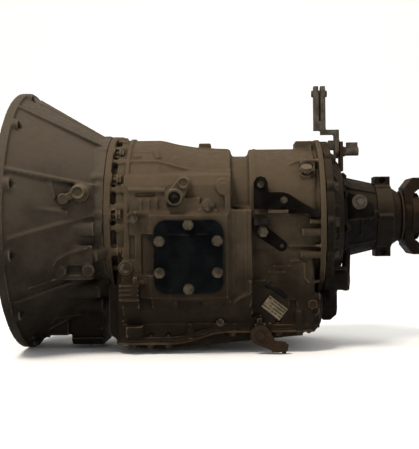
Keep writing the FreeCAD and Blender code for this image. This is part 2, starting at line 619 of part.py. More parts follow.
def main_case():
    mass = turned("case_mass", [
        (d.joint, 0), (d.joint, d.joint_r), (d.case_flange_end, d.joint_r), (d.case_flange_end, d.case_web_r),
        (d.case_rib_start, d.case_web_r), (d.case_rib_start, d.case_rib_r), (d.case_rib_end, d.case_rib_r),
        (d.case_rib_end, d.case_r), (d.case_taper_start, d.case_r), (d.case_mid_x, d.case_mid_r),
        (d.case_waist_x, d.case_waist_r), (d.case_rear_x, d.case_rear_r), (d.neck_start, d.neck_r),
        (d.neck_end, d.neck_r), (d.drum_start, d.drum_r), (d.rear_flange_start, d.drum_r),
        (d.rear_flange_start, d.rear_flange_r), (d.case_end, d.rear_flange_r), (d.case_end, 0)])
    skirt_outline = ([(d.skirt_start, d.seam_front)] + seam() + [(d.skirt_end, d.seam_rear),
                     (d.skirt_end, d.skirt_top), (d.skirt_start, d.skirt_top)])
    skirt = padded("skirt", skirt_outline, "XZ", -d.skirt_half, d.skirt_half)
    rail = seam_band("rail", d.pan_front_x, d.pan_end_x, d.rail_half, -d.rail_height, 0)
    skirt = overlap("skirt_and_rail", joined("skirt_mass", [skirt, rail]), pan_plan)
    pads = [block("take_off_pad", (d.pad_start, d.pad_end), (-d.pad_face, -100), (d.pad_bottom, d.pad_top)),
            block("top_boss", (d.top_boss_start, d.top_boss_end), (-d.top_boss_half, d.top_boss_half),
                  (100, d.top_boss_height)),
            block("hump", (d.hump_top_start, d.hump_top_end), (-d.hump_top_half, d.hump_top_half),
                  (100, d.hump_top_height))] + blocks("case_pad", case_pads)
    bosses = [cylinder(f"side_boss_{index}", r, face - 90, (x, -90, z), "-y")
              for index, (x, z, r, face) in enumerate(side_bosses)]
    pegs = [cylinder(f"rear_peg_{index}", r, d.case_end - start, (start, y, z))
            for index, (start, y, z, r) in enumerate(rear_pegs)]
    joint_bosses = joint_bolt_tools("joint_boss", d.joint, d.case_rib_start + 1, d.joint_boss_r)
    selector_boss = cylinder("selector_boss", 11, 58, (d.selector_x, -90, d.selector_z), "-y")
    breather_boss = spun("breather_boss", cylinder("breather_boss_bar", 11, d.breather_rise, (0, 0, 0), "z"),
                         d.breather_tilt, d.breather_x, d.breather_root_y, d.breather_root_z)
    cavity = turned("case_cavity", [
        (d.joint - 1, 0), (d.joint - 1, d.case_bore_r), (d.bore_front_end, d.case_bore_r),
        (d.bore_front_end, d.bore_wide_r), (d.bore_wide_end, d.bore_wide_r), (d.bore_mid_x, d.bore_mid_r),
        (d.bore_neck_x, d.bore_neck_r), (d.neck_end, d.bore_neck_r), (d.bore_rear_start, d.bore_rear_r),
        (d.case_end + 1, d.bore_rear_r), (d.case_end + 1, 0)])
    sump = padded("sump_cavity", (
        [(d.skirt_start + d.skirt_wall, d.seam_front - 1)] + seam(1)
        + [(d.skirt_end - d.skirt_wall, d.seam_rear - 1), (d.skirt_end - d.skirt_wall, d.skirt_cavity_top),
           (d.skirt_start + d.skirt_wall, d.skirt_cavity_top)]), "XZ",
        -(d.skirt_half - d.skirt_wall), d.skirt_half - d.skirt_wall)
    window = block("take_off_window", (d.window_start, d.window_end), (-d.pad_face - 1, -90),
                   (d.window_bottom, d.window_top))
    joint_holes = joint_bolt_tools("case_joint_hole", d.joint - 1, d.case_rib_start + 2,
                                   d.flange_bolt_r + d.hole_gap)
    head_pockets = joint_bolt_tools("head_pocket", d.case_rib_start + 1, d.bore_front_end - 0.5, 12)
    cover_holes = [moved(f"cover_hole_{index}", bolt_hole_y, x, -d.pad_face, z)
                   for index, (x, z) in enumerate(cover_bolt_places())]
    pan_holes = [moved(f"case_pan_hole_{index}", bolt_hole_z, x, y, z)
                 for index, (x, y, z) in enumerate(pan_bolt_seats())]
    rear_hole = cylinder("case_rear_hole", d.flange_bolt_r + d.hole_gap, 11,
                         (d.rear_flange_start, 0, d.rear_bolt_circle_r))
    rear_holes = [spun(f"case_rear_hole_{index}", rear_hole, angle)
                  for index, (angle,) in enumerate(rear_bolt_angles)]
    selector_hole = cylinder("selector_hole", d.selector_shaft_r + d.hole_gap, 70,
                             (d.selector_x, -80, d.selector_z), "-y")
    sensor_x, _, sensor_z, _, _ = turbine_sensor_bars[0]
    sensor_hole = cylinder("turbine_sensor_hole", d.sensor_hole_r, 90, (sensor_x, -80, sensor_z), "-y")
    bracket_holes = [cylinder(f"case_bracket_hole_{index}", d.small_bolt_r + d.hole_gap, 14,
                              (x, -130, z), "-y") for index, (x, z) in enumerate(bracket_bolt_places)]
    toe = padded("toe", [
        (d.joint + 1, d.toe_top), (d.joint + 1, d.seam_front + 15), (d.joint + 5, d.seam_front + 8),
        (d.pan_front_x + 2, d.seam_front + 1), (d.pan_front_x + 10, d.seam_front + 1),
        (d.pan_front_x + 10, d.toe_top)], "XZ", -d.toe_half, d.toe_half)
    solid = joined("case_solid", [mass, skirt, toe, selector_boss, breather_boss] + side_wall("near_wall", -1)
                   + side_wall("far_wall", 1) + pads + bosses + pegs + joint_bosses)
    tools = [cavity, sump, window, selector_hole, sensor_hole]
    tools += joint_holes + head_pockets + cover_holes + pan_holes + rear_holes + bracket_holes
    keep("main_case", without("main_case", solid, tools))


def cover_bolt_places():
    """Centres of the six power take-off cover bolts as (x, z)."""
    spots = []
    for side in (-1, 1):
        for level in (-1, 1):
            spots.append((d.cover_x + d.cover_bolt_x * side, d.cover_z + d.cover_bolt_z * level))
        spots.append((d.cover_x, d.cover_z + d.cover_bolt_end_z * side))
    return spots


def pan_bolt_seats():
    """Centres of the pan bolt holes on the seam as (x, y, z)."""
    seats = []
    for x, side in pan_bolt_places:
        level = d.seam_front if x.value < d.step_start.value else d.seam_rear
        seats.append((x, d.rail_edge * side, level))
    for across in (-70, 0, 70):
        seats.append((d.pan_front_x + 6, as_size(across), d.seam_front))
        seats.append((d.pan_end_x - 6, as_size(across), d.seam_rear))
    return seats


bolt_hole_y = bolt_hole("take_off_hole", d.flange_bolt_r, d.bolt_grip, "y")
bolt_hole_z = bolt_hole("pan_hole", d.small_bolt_r, d.bolt_grip, "z")


def rear_cover():
    mass = turned("rear_cover_mass", [
        (d.case_end, 0), (d.case_end, d.rear_cover_r), (d.case_end + d.rear_cover_thick, d.rear_cover_r),
        (d.case_end + d.rear_cover_thick, d.rear_bolt_circle_r - 11), (d.rear_dome_end, d.rear_dome_r),
        (d.rear_dome_end, 0)])
    skirt = block("rear_cover_skirt", (d.case_end, d.case_end + 26), (-d.rear_skirt_half, d.rear_skirt_half),
                  (d.rear_skirt_bottom, -60))
    lobe = cylinder("rear_cover_lobe", d.rear_lobe_r, d.rear_lobe_length,
                    (d.case_end, d.rear_lobe_y, d.rear_lobe_z))
    cavity = turned("rear_cover_cavity", [
        (d.case_end - 1, 0), (d.case_end - 1, d.bore_rear_r), (d.case_end + 9, d.bore_rear_r),
        (d.rear_dome_end - d.rear_wall, d.rear_dome_r - 7), (d.rear_dome_end - d.rear_wall, 58),
        (d.case_end + 4, 58), (d.case_end + 4, 0)])
    bore = cylinder("rear_cover_bore", d.rear_bore_r, 40, (d.case_end - 1, 0, 0))
    hole = cylinder("rear_cover_hole", d.flange_bolt_r + d.hole_gap, 20,
                    (d.case_end - 1, 0, d.rear_bolt_circle_r))
    holes = [spun(f"rear_cover_hole_{index}", hole, angle)
             for index, (angle,) in enumerate(rear_bolt_angles)]
    solid = joined("rear_cover_solid", [mass, skirt, lobe] + blocks("rear_pad", rear_pads))
    keep("rear_cover", without("rear_cover", solid, [cavity, bore] + holes))


def extension_housing():
    mass = turned("extension_mass", [
        (d.extension_front, 0), (d.extension_front, d.extension_front_z + 8),
        (d.extension_front + 8, d.extension_front_z + 6), (d.extension_front + 10, d.extension_front_z),
        (d.extension_end, d.extension_rear_z), (d.extension_end, 0)])
    rib = padded("extension_rib", [
        (d.extension_front, 40), (d.extension_front, d.extension_front_z + d.extension_rib_height),
        (d.extension_end, d.extension_rear_z + d.extension_rib_height - 2), (d.extension_end, 40)],
        "XZ", -d.extension_rib_half, d.extension_rib_half)
    ribs = [spun(f"extension_rib_{angle}", rib, angle) for angle in (0, 90, 180, 270)]
    sensor_x, _, sensor_z, _, _ = output_sensor_bars[0]
    sensor_boss = cylinder("output_sensor_boss", d.output_boss_r, 40, (sensor_x, -40, sensor_z), "-y")
    bore = cylinder("extension_bore", d.extension_bore_r, 80, (d.extension_front - 1, 0, 0))
    sensor_hole = cylinder("output_sensor_hole", d.output_hole_r, 60, (sensor_x, -30, sensor_z), "-y")
    solid = joined("extension_solid", [mass, sensor_boss] + ribs)
    keep("extension_housing", without("extension_housing", solid, [bore, sensor_hole]))


def mount_ring():
    ring = turned("mount_ring_mass", [
        (d.ring_start, d.ring_bore_r), (d.ring_start, d.ring_r), (d.ring_end, d.ring_r),
        (d.ring_end, d.nose_front_r), (d.nose_end, d.nose_rear_r), (d.nose_end, d.nose_bore_r),
        (d.seal_start - 3, d.nose_bore_r), (d.seal_start - 3, d.ring_bore_r)])
    lugs = [block(f"mount_lug_{name}", (d.ring_start, d.ring_end), (-d.ring_lug_half, d.ring_lug_half),
                  levels) for name, levels in (("top", (50, d.ring_lug_z)), ("bottom", (-d.ring_lug_z, -50)))]
    holes = [cylinder(f"mount_lug_hole_{side}", d.lug_hole_r, d.ring_lug_half * 2 + 2,
                      ((d.ring_start + d.ring_end) / 2, -d.ring_lug_half - 1,
                       (d.ring_r + d.lug_hole_offset) * side), "y")
             for side in (-1, 1)]
    keep("mount_ring", without("mount_ring", joined("mount_ring_solid", [ring] + lugs), holes))


def rear_parts():
    keep("output_seal", tube("output_seal", d.nose_bore_r - d.press_gap, d.seal_inner_r, d.seal_start,
                             d.seal_start + d.seal_width))
    keep("rear_bearing_outer", tube("rear_bearing_outer", d.bearing_outer_r, d.bearing_mid_r + 4,
                                    d.bearing_start, d.bearing_start + d.bearing_width))
    inner = tube("rear_bearing_ring", d.bearing_mid_r - 3, d.output_shaft_r + d.fit_gap, d.bearing_start,
                 d.bearing_start + d.bearing_width)
    ball = doc.addObject("Part::Sphere", "bearing_ball")
    bind(ball, Radius=d.bearing_ball_r)
    place(ball, d.bearing_start + d.bearing_width / 2, 0, d.bearing_mid_r + 0.5)
    keep("rear_bearing_inner", grouped("rear_bearing_inner", [inner] + ring_of("bearing_balls", ball,
                                                                          d.bearing_ball_count)))


# ------------------------------------------------------------------------------------------- pan and cover

def oil_pan():
    flange_bottom = d.gasket_thick + d.pan_flange_thick
    gasket = overlap("gasket_plan", pan_plan,
                     seam_band("gasket_plate", d.pan_front_x, d.pan_end_x, d.rail_half, 0, d.gasket_thick))
    gasket_window = block("gasket_window", (d.skirt_start + d.skirt_wall, d.skirt_end - d.skirt_wall),
                          (-(d.skirt_half - d.skirt_wall), d.skirt_half - d.skirt_wall),
                          (d.seam_front - 5, d.seam_rear + 5))
    gasket_holes = [moved(f"gasket_hole_{index}", pan_through_hole, x, y, z)
                    for index, (x, y, z) in enumerate(pan_bolt_seats())]
    keep("oil_pan_gasket", without("oil_pan_gasket", gasket, [gasket_window] + gasket_holes))

    flange = overlap("pan_flange_plan", pan_plan,
                     seam_band("pan_flange", d.pan_front_x, d.pan_end_x, d.rail_half, d.gasket_thick,
                               flange_bottom))

    def bowl(name, inset, top_drop, half):
        top = [(d.bowl_start + inset, d.seam_front - top_drop)] + seam(top_drop)
        top += [(d.bowl_end - inset, d.seam_rear - top_drop)]
        bottom = [(d.bowl_end - 14 - inset, d.bowl_rear + inset), (d.bowl_mid_x, d.bowl_mid + inset),
                  (d.bowl_deep_x, d.bowl_deep + inset), (d.bowl_start + 12 + inset, d.bowl_deep + 5 + inset)]
        return padded(name, top + bottom, "XZ", -half, half)

    outer = bowl("pan_bowl", 0, flange_bottom - 1, d.bowl_half)
    inner = bowl("pan_hollow", d.sheet_wall, -1, d.bowl_half - d.sheet_wall)
    pan_holes = [moved(f"pan_flange_hole_{index}", pan_through_hole, x, y, z)
                 for index, (x, y, z) in enumerate(pan_bolt_seats())]
    drain = cylinder("drain_boss", 13, 4, (300, 0, -238), "z")
    keep("oil_pan", without("oil_pan", joined("pan_solid", [flange, outer, drain]), [inner] + pan_holes))


pan_through_hole = cylinder("pan_through_hole", d.small_bolt_r + d.hole_gap, 9, (0, 0, -8), "z")


def power_take_off_cover():
    half_x = d.cover_length / 2
    half_z = d.cover_height / 2
    plate = block("cover_plate", (d.cover_x - half_x, d.cover_x + half_x),
                  (-d.pad_face - d.cover_thick, -d.pad_face), (d.cover_z - half_z, d.cover_z + half_z))
    plate = rounded("cover_rounded", plate, d.cover_corner_r, lambda edge: is_along(edge, (0, 1, 0)))
    bead = block("cover_bead", (d.cover_x - d.cover_bead_length / 2, d.cover_x + d.cover_bead_length / 2),
                 (-d.pad_face - d.cover_thick - d.cover_bead_thick, -d.pad_face - d.cover_thick + 1),
                 (d.cover_z + d.cover_bead_z, d.cover_z + d.cover_bead_z + d.cover_bead_height))
    dish = block("cover_dish", (d.cover_x - d.cover_dish_length / 2, d.cover_x + d.cover_dish_length / 2),
                 (-d.pad_face - d.cover_dish_depth, -d.pad_face + 1),
                 (d.cover_z - d.cover_dish_height / 2, d.cover_z + d.cover_dish_height / 2))
    hole = cylinder("cover_bolt_hole", d.flange_bolt_r + d.hole_gap, d.cover_thick + 2,
                    (0, -d.cover_thick - 1, 0), "y")
    holes = [moved(f"cover_plate_hole_{index}", hole, x, -d.pad_face, z)
             for index, (x, z) in enumerate(cover_bolt_places())]
    keep("pto_cover", without("pto_cover", joined("cover_solid", [plate, bead]), [dish] + holes))


def fasteners():
    cover_bolt = large_bolt("cover_bolt", d.bolt_grip + d.cover_thick - 3, "y")
    keep("pto_cover_bolts", grouped("pto_cover_bolts", [
        moved(f"cover_bolt_{index}", cover_bolt, x, -d.pad_face - d.cover_thick, z)
        for index, (x, z) in enumerate(cover_bolt_places())]))
    joint_bolt = large_bolt("joint_bolt", d.case_rib_start + 1 - d.joint + d.joint_bolt_grip, "-x")
    joint_bolt_out = moved("joint_bolt_out", joint_bolt, d.case_rib_start + 1, 0, d.joint_bolt_circle_r)
    keep("housing_bolts", grouped("housing_bolts", [
        spun(f"joint_bolt_{index}", joint_bolt_out, angle)
        for index, (angle,) in enumerate(joint_bolt_angles)]))
    rear_bolt = large_bolt("rear_bolt", d.rear_cover_thick + 9, "-x")
    rear_bolt_out = moved("rear_bolt_out", rear_bolt, d.case_end + d.rear_cover_thick, 0,
                          d.rear_bolt_circle_r)
    keep("rear_bolts", grouped("rear_bolts", [
        spun(f"rear_bolt_{index}", rear_bolt_out, angle)
        for index, (angle,) in enumerate(rear_bolt_angles)]))
    pan_bolt = small_bolt("pan_bolt", d.bolt_grip + 4, "z")
    seat_drop = d.gasket_thick + d.pan_flange_thick
    keep("oil_pan_bolts", grouped("oil_pan_bolts", [
        moved(f"pan_bolt_{index}", pan_bolt, x, y, z - seat_drop)
        for index, (x, y, z) in enumerate(pan_bolt_seats())]))
    bracket_bolt = bolt("bracket_bolt", d.bracket_bolt_head_r, d.bracket_bolt_head, d.bracket_bolt_head_r
                        + d.bracket_bolt_collar, d.bracket_bolt_washer, d.small_bolt_r,
                        d.bracket_thick + 12, "y")
    keep("bracket_bolts", grouped("bracket_bolts", [
        moved(f"bracket_bolt_{index}", bracket_bolt, x, -d.bracket_face - d.bracket_thick, z)
        for index, (x, z) in enumerate(bracket_bolt_places)]))


# --------------------------------------------------------------------------------- outside fittings

def sensors():
    keep("input_speed_sensor", joined("input_speed_sensor", bars("input_sensor", input_sensor_bars, "-y")
                                      + blocks("input_sensor_arm", input_sensor_arms)))
    flange_y, flange_thick = turbine_sensor_bars[1][1], turbine_sensor_bars[1][4]
    web = padded("turbine_sensor_web", turbine_sensor_web, "XZ", flange_y - flange_thick, flange_y)
    keep("turbine_speed_sensor", joined("turbine_speed_sensor", [web]
                                        + bars("turbine_sensor", turbine_sensor_bars, "-y")))
    keep("output_speed_sensor", joined("output_speed_sensor",
                                       bars("output_sensor", output_sensor_bars, "-y")))


def breather_cap():
    dome = cone("breather_dome", d.breather_dome_r, d.breather_top_r, d.breather_dome,
                (0, 0, d.breather_stem), "z")
    whole = joined("breather_upright", bars("breather_bar", breather_bars, "z") + [dome])
    tilt = d.breather_tilt
    keep("breather_cap", grouped("breather_cap", [
        spun("breather_tilted", whole, tilt, d.breather_x, d.breather_root_y - d.breather_rise * sine(tilt),
             d.breather_root_z + d.breather_rise * cosine(tilt))]))


def cable_bracket():
    face = -d.bracket_face
    front = face - d.bracket_thick
    plate = padded("bracket_plate", bracket_outline, "XZ", front, face)
    lip = block("bracket_lip", (d.lip_start, d.lip_end), (front, front + d.lip_width),
                (d.lip_bottom, d.lip_bottom + d.lip_thick))
    holes = [cylinder(f"bracket_hole_{index}", d.small_bolt_r + d.hole_gap, d.bracket_thick + 2,
                      (x, face + 1, z), "-y") for index, (x, z) in enumerate(bracket_bolt_places)]
    keep("cable_bracket", without("cable_bracket", joined("bracket_solid", [plate, lip]), holes))


def selector():
    x, z = d.selector_x, d.selector_z
    shaft = cylinder("selector_rod", d.selector_shaft_r, 70, (x, -d.selector_inner, z), "-y")
    detent = block("detent_plate", (x - d.detent_half, x + d.detent_half), (-d.selector_inner - 4,
                   -d.selector_inner - 4 + d.detent_thick), (z - d.detent_arm, z + 4))
    nut = doc.addObject("Part::Prism", "selector_nut")
    nut.Polygon = 6
    nut.Placement = FreeCAD.Placement(FreeCAD.Vector(), DIRECTIONS["-y"])
    bind(nut, Circumradius=d.selector_nut_r, Height=d.selector_nut)
    place(nut, x, -d.selector_face - d.selector_plate, z)
    keep("selector_shaft", joined("selector_shaft", [shaft, detent, nut]))

    end_x = x + d.selector_arm * cosine(d.selector_arm_angle)
    end_z = z + d.selector_arm * sine(d.selector_arm_angle)
    hub = cylinder("lever_hub", d.selector_hub_r, d.selector_plate, (x, -d.selector_face, z), "-y")
    tip = cylinder("lever_tip", d.selector_end_r, d.selector_plate, (end_x, -d.selector_face, end_z), "-y")
    lean = d.selector_arm_angle
    side_x, side_z = sine(lean), cosine(lean)
    half_hub, half_tip = d.selector_hub_r - 2, d.selector_end_r - 2
    arm = padded("lever_arm", [
        (x + half_hub * side_x, z - half_hub * side_z),
        (end_x + half_tip * side_x, end_z - half_tip * side_z),
        (end_x - half_tip * side_x, end_z + half_tip * side_z),
        (x - half_hub * side_x, z + half_hub * side_z)],
        "XZ", -d.selector_face - d.selector_plate, -d.selector_face)
    bore = cylinder("lever_bore", d.selector_shaft_r + d.press_gap, 20, (x, -d.selector_face + 5, z), "-y")
    hole = cylinder("lever_hole", d.selector_pin_hole_r, 20, (end_x, -d.selector_face + 5, end_z), "-y")
    keep("selector_lever", without("selector_lever", joined("lever_solid", [hub, tip, arm]), [bore, hole]))
    keep("neutral_switch", blocks("neutral_switch", switch_blocks)[0])


def lower_bracket():
    x, z = d.lower_bracket_x, d.lower_bracket_z
    front = -d.lower_bracket_face - d.lower_plate
    disc = cylinder("lower_disc", d.lower_disc_r, d.lower_plate, (x, -d.lower_bracket_face, z), "-y")
    arm = padded("lower_arm", [(x + ahead, z + up) for ahead, up in lower_arm_outline], "XZ", front,
                 -d.lower_bracket_face)
    fold = block("lower_fold", (x + 20, x + 46), (front, front + 14), (z - 30, z - 25))
    screw = cylinder("lower_screw", 7, 5, (x, front, z), "-y")
    stud = cylinder("lower_stud", 4, 18, (x + 42, front + 7, z - 33), "z")
    keep("lower_bracket", joined("lower_bracket", [disc, arm, fold, screw, stud]))


def small_trim():
    plugs = bars("side_plug", side_plugs, "-y")
    plugs.append(cylinder("plug_rear", d.rear_plug_r, d.plug_thick,
                          (d.case_end + d.rear_lobe_length, d.rear_lobe_y, d.rear_lobe_z), "x"))
    keep("pipe_plugs", grouped("pipe_plugs", plugs))
    label = padded("label_plate", [
        (-d.label_length / 2, -d.label_height / 2), (d.label_length / 2, -d.label_height / 2),
        (d.label_length / 2, d.label_height / 2), (-d.label_length / 2, d.label_height / 2)],
        "XZ", 0, d.label_thick)
    tilt = FreeCAD.Rotation(FreeCAD.Vector(0, 1, 0), -d.label_angle.value)
    label.Placement = FreeCAD.Placement(FreeCAD.Vector(), tilt)
    place(label, d.label_x, -d.skirt_half - d.label_thick, d.label_z)
    keep("data_label", label)


def brake_gear():
    y, z = d.brake_shaft_y, d.brake_shaft_z
    width = (y - d.brake_half, y + d.brake_half)
    front = block("brake_front_plate", (d.brake_front_x, d.brake_front_x + d.brake_plate), width,
                  (d.brake_arm_bottom, d.brake_arm_top))
    rear = block("brake_rear_plate", (d.brake_rear_x, d.brake_rear_x + d.brake_plate), width,
                 (d.brake_crank_z, d.brake_arm_top))
    spacer = block("brake_spacer", (d.brake_front_x + 1, d.brake_rear_x + 1), width,
                   (d.brake_arm_bottom, d.brake_arm_bottom + 16))
    crank = block("brake_crank", (d.brake_rear_x, d.brake_hub_x + d.brake_plate), width,
                  (d.brake_crank_z, d.brake_arm_bottom))
    lower = block("brake_lower_plate", (d.brake_hub_x, d.brake_hub_x + d.brake_plate), width,
                  (z, d.brake_arm_bottom))
    hub = cylinder("brake_hub", d.brake_half, d.brake_plate, (d.brake_hub_x, y, z))
    shaft = cylinder("brake_rod", d.brake_shaft_r, d.brake_cap_x + 2 - d.brake_hub_x, (d.brake_hub_x, y, z))
    cap = cylinder("brake_cap", d.brake_cap_r, 25, (d.brake_cap_x, y, z))
    knob = block("brake_knob", (d.brake_cap_x + 2, d.brake_cap_x + 23), (y - 7, y + 7), (z, z + 17))
    pin_hole = cylinder("brake_pin_hole", 5, 40, (d.brake_front_x - 5, y, d.brake_arm_top - 12))
    keep("brake_lever", without("brake_lever", joined("brake_solid", [
        front, rear, spacer, crank, lower, hub, shaft, cap, knob]), [pin_hole]))
    plate = block("brake_bracket_plate", (d.rear_dome_end, d.rear_dome_end + 6), (y - 17, y + 17),
                  (z - 38, z + 18))
    bore = cylinder("brake_bracket_bore", d.brake_shaft_r + 0.7, 10, (d.rear_dome_end - 2, y, z))
    keep("brake_bracket", without("brake_bracket", plate, [bore]))


# ------------------------------------------------------------------------------------ converter and pump

def torque_converter():
    cover = turned("cover_shell", [
        (d.crank_pilot_start, 0), (d.crank_pilot_start, d.crank_pilot_r), (d.cover_face, d.crank_pilot_r),
        (d.cover_face, 122), (d.cover_shoulder, d.converter_r), (d.converter_split, d.converter_r),
        (d.converter_split, d.converter_r - d.shell_wall),
        (d.cover_shoulder + 3, d.converter_r - d.shell_wall),
        (d.cover_face + d.shell_wall, 119), (d.cover_face + d.shell_wall, 0)])
    lug = cylinder("drive_lug", d.lug_r, d.lug_length + 1, (d.cover_face - d.lug_length, 0, d.lug_circle_r))
    keep("converter_cover", joined("converter_cover", [cover] + ring_of("drive_lugs", lug, d.lug_count)))

    wall = d.shell_wall
    shell = turned("impeller_bowl", [
        (d.converter_split, d.converter_r - wall), (d.converter_split, d.converter_r),
        (d.impeller_shoulder, d.converter_r - 2), (126, 118), (d.impeller_rear, 70),
        (d.impeller_rear, d.hub_r),
        (d.hub_end, d.hub_r), (d.hub_end, 23.2), (d.impeller_rear - wall, 23.2), (d.impeller_rear - wall, 68),
        (122, 113), (101, 141)])
    blade = padded("impeller_blade", impeller_blade_outline, "XZ", -d.blade_thick / 2, d.blade_thick / 2)
    bladed = joined("impeller_solid", [shell] + ring_of("impeller_blades", blade, d.blade_count))
    flats = [block(f"hub_flat_{side}", (162.5, d.hub_end + 1), (low, high), (-30, 30))
             for side, low, high in (("near", -30, -25.4), ("far", 25.4, 30))]
    keep("impeller_shell", without("impeller_shell", bladed, flats))

    bowl = turned("turbine_bowl", turbine_outline)
    vane = padded("turbine_vane", turbine_vane_outline, "XZ", -d.blade_thick / 2, d.blade_thick / 2)
    keep("turbine_wheel", joined("turbine_wheel", [bowl] + ring_of("turbine_vanes", vane, d.blade_count)))

    hub = tube("stator_hub", d.stator_hub_r, d.support_tube_r + 0.6, d.stator_start, d.stator_end)
    rim = tube("stator_rim", d.stator_outer_r, d.stator_outer_r - 4, d.stator_start, d.stator_end)
    foil = block("stator_foil", (d.stator_start + 1, d.stator_end - 1), (-1.5, 1.5),
                 (d.stator_hub_r - 1, d.stator_outer_r - 3))
    foils = ring_of("stator_foils", foil, d.stator_blade_count)
    keep("stator_wheel", joined("stator_wheel", [hub, rim] + foils))


def oil_pump():
    offset = d.pump_module * (d.pump_driven_teeth - d.pump_drive_teeth) / 2
    addendum = d.pump_module * 0.8
    driven_pitch_r = d.pump_module * d.pump_driven_teeth / 2
    drive_pitch_r = d.pump_module * d.pump_drive_teeth / 2
    chamber_r = driven_pitch_r + d.pump_module + d.pump_rim + d.pump_gap
    depth = d.pump_chamber_end - d.pump_chamber_start
    mass = turned("pump_mass", [
        (d.pump_front, d.hub_r + d.pump_hole_gap), (d.pump_front, d.pump_neck_r), (148, 70),
        (148, d.pump_nose_r), (d.bell_wall_rear + 0.3, d.pump_nose_r),
        (d.bell_wall_rear + 0.3, d.pump_disc_r),
        (d.pump_chamber_end, d.pump_disc_r), (d.pump_chamber_end, d.hub_r + d.pump_hole_gap)])
    chamber = cylinder("pump_chamber", chamber_r, depth + 1, (d.pump_chamber_start, 0, offset))
    inside = cylinder("crescent_outside", driven_pitch_r - addendum - d.pump_gap, depth,
                      (d.pump_chamber_start, 0, offset))
    upper = block("crescent_half", (d.pump_chamber_start, d.pump_chamber_end), (-60, 60), (16, 80))
    around = cylinder("crescent_inside", drive_pitch_r + addendum + d.pump_gap, depth + 2,
                      (d.pump_chamber_start - 1, 0, 0))
    crescent = without("crescent", overlap("crescent_disc", inside, upper), [around])
    keep("pump_housing", joined("pump_housing", [without("pump_body", mass, [chamber]), crescent]))

    width = depth - 0.4
    drive = gear_blank("drive_gear_blank", d.pump_drive_teeth, d.pump_module, addendum, addendum + 0.6,
                       d.gear_backlash, d.pump_chamber_start + 0.2, width)
    bore = overlap("drive_bore", cylinder("drive_bore_round", d.hub_r + 0.35, 20, (160, 0, 0)),
                   block("drive_bore_flats", (159, 181), (-25.7, 25.7), (-30, 30)))
    keep("pump_drive_gear", without("pump_drive_gear", drive, [bore]))

    ratio = d.pump_drive_teeth.value / d.pump_driven_teeth.value
    contact = -math.pi / 2
    turn = contact - contact * ratio
    disc = cylinder("driven_disc", chamber_r - d.pump_gap, width, (d.pump_chamber_start + 0.2, 0, offset))
    space = gear_blank("driven_space", d.pump_driven_teeth, d.pump_module, addendum + 0.6, addendum,
                       -d.gear_backlash, d.pump_chamber_start - 1, depth + 2, turn, 0, offset)
    keep("pump_driven_gear", without("pump_driven_gear", disc, [space]))

    support = turned("support_mass", [
        (d.support_tube_start, d.support_tube_inner_r), (d.support_tube_start, d.support_tube_r),
        (d.pump_chamber_end, d.support_tube_r), (d.pump_chamber_end, d.pump_disc_r), (190, d.pump_disc_r),
        (190, 60), (d.support_end, 60), (d.support_end, d.support_tube_inner_r)])
    keep("front_support", support)


# ------------------------------------------------------------------------------------ shafts and gear sets

def shafts():
    keep("input_shaft", cylinder("input_shaft", d.input_shaft_r, d.input_shaft_end - d.input_shaft_start,
                                 (d.input_shaft_start, 0, 0)))
    drum = turned("drum_mass", [
        (d.drum_wall_start, d.input_shaft_r + d.fit_gap), (d.drum_wall_start, d.clutch_drum_r),
        (d.clutch_drum_end, d.clutch_drum_r), (d.clutch_drum_end, d.clutch_drum_r - d.clutch_drum_wall),
        (d.drum_wall_end, d.clutch_drum_r - d.clutch_drum_wall), (d.drum_wall_end, d.clutch_hub_r),
        (240, d.clutch_hub_r), (240, d.input_shaft_r + d.fit_gap)])
    slot = block("drum_slot", (246, d.clutch_drum_end + 1), (-5, 5), (100, 120))
    keep("clutch_drum", without("clutch_drum", drum, ring_of("drum_slots", slot, d.spline_count)))
    keep("main_shaft", cylinder("main_shaft", d.main_shaft_r, d.main_shaft_end - d.input_shaft_end - 1,
                                (d.input_shaft_end + 1, 0, 0)))
    neck_end = d.nut_start
    keep("output_shaft", turned("output_shaft", [
        (d.output_shaft_start, 0), (d.output_shaft_start, d.output_shaft_r),
        (d.output_neck_start, d.output_shaft_r), (d.output_neck_start, d.output_neck_r),
        (neck_end, d.output_neck_r), (neck_end, d.thread_r), (neck_end + d.nut_length + 4, d.thread_r),
        (neck_end + d.nut_length + 4, 0)]))


def planet_turn(centre_angle, sun_teeth, planet_teeth):
    """The angle of a planet that meshes with a sun whose first tooth lies at angle zero."""
    phase = 0.5 - centre_angle * sun_teeth / (2 * math.pi)
    return centre_angle + math.pi - phase * 2 * math.pi / planet_teeth


def internal_ring(name, start, end):
    """A ring gear with its teeth cut by a toothed prism."""
    rim = cylinder(name + "_rim", d.ring_rim_r, as_size(end) - start, (start, 0, 0))
    space = gear_blank(name + "_space", d.ring_teeth, d.gear_module, d.gear_module * 1.25, d.gear_module,
                       -d.gear_backlash, as_size(start) - 1, as_size(end) - start + 2)
    return without(name, rim, [space])


def planet_set(number, start, sun_teeth, planet_teeth):
    """Three planets of one set; returns the distance of their centres from the main axis."""
    reach = d.gear_module * (sun_teeth + planet_teeth) / 2
    for index, letter in enumerate("abc"):
        angle = math.radians(120 * index)
        teeth = int(planet_teeth.value)
        turn = planet_turn(angle, int(sun_teeth.value), teeth)
        spot = as_size(120 * index)
        blank = gear_blank(f"planet_blank_{number}_{letter}", planet_teeth, d.gear_module, d.gear_module,
                           d.gear_module * 1.25, d.gear_backlash, start, d.gear_width, turn,
                           reach * cosine(spot), reach * sine(spot))
        bore = cylinder(f"planet_bore_{number}_{letter}", d.pin_r + d.pin_gap, d.gear_width + 2,
                        (start - 1, reach * cosine(spot), reach * sine(spot)))
        keep(f"planet_{number}_{letter}", without(f"planet_{number}_{letter}", blank, [bore]))
    return reach


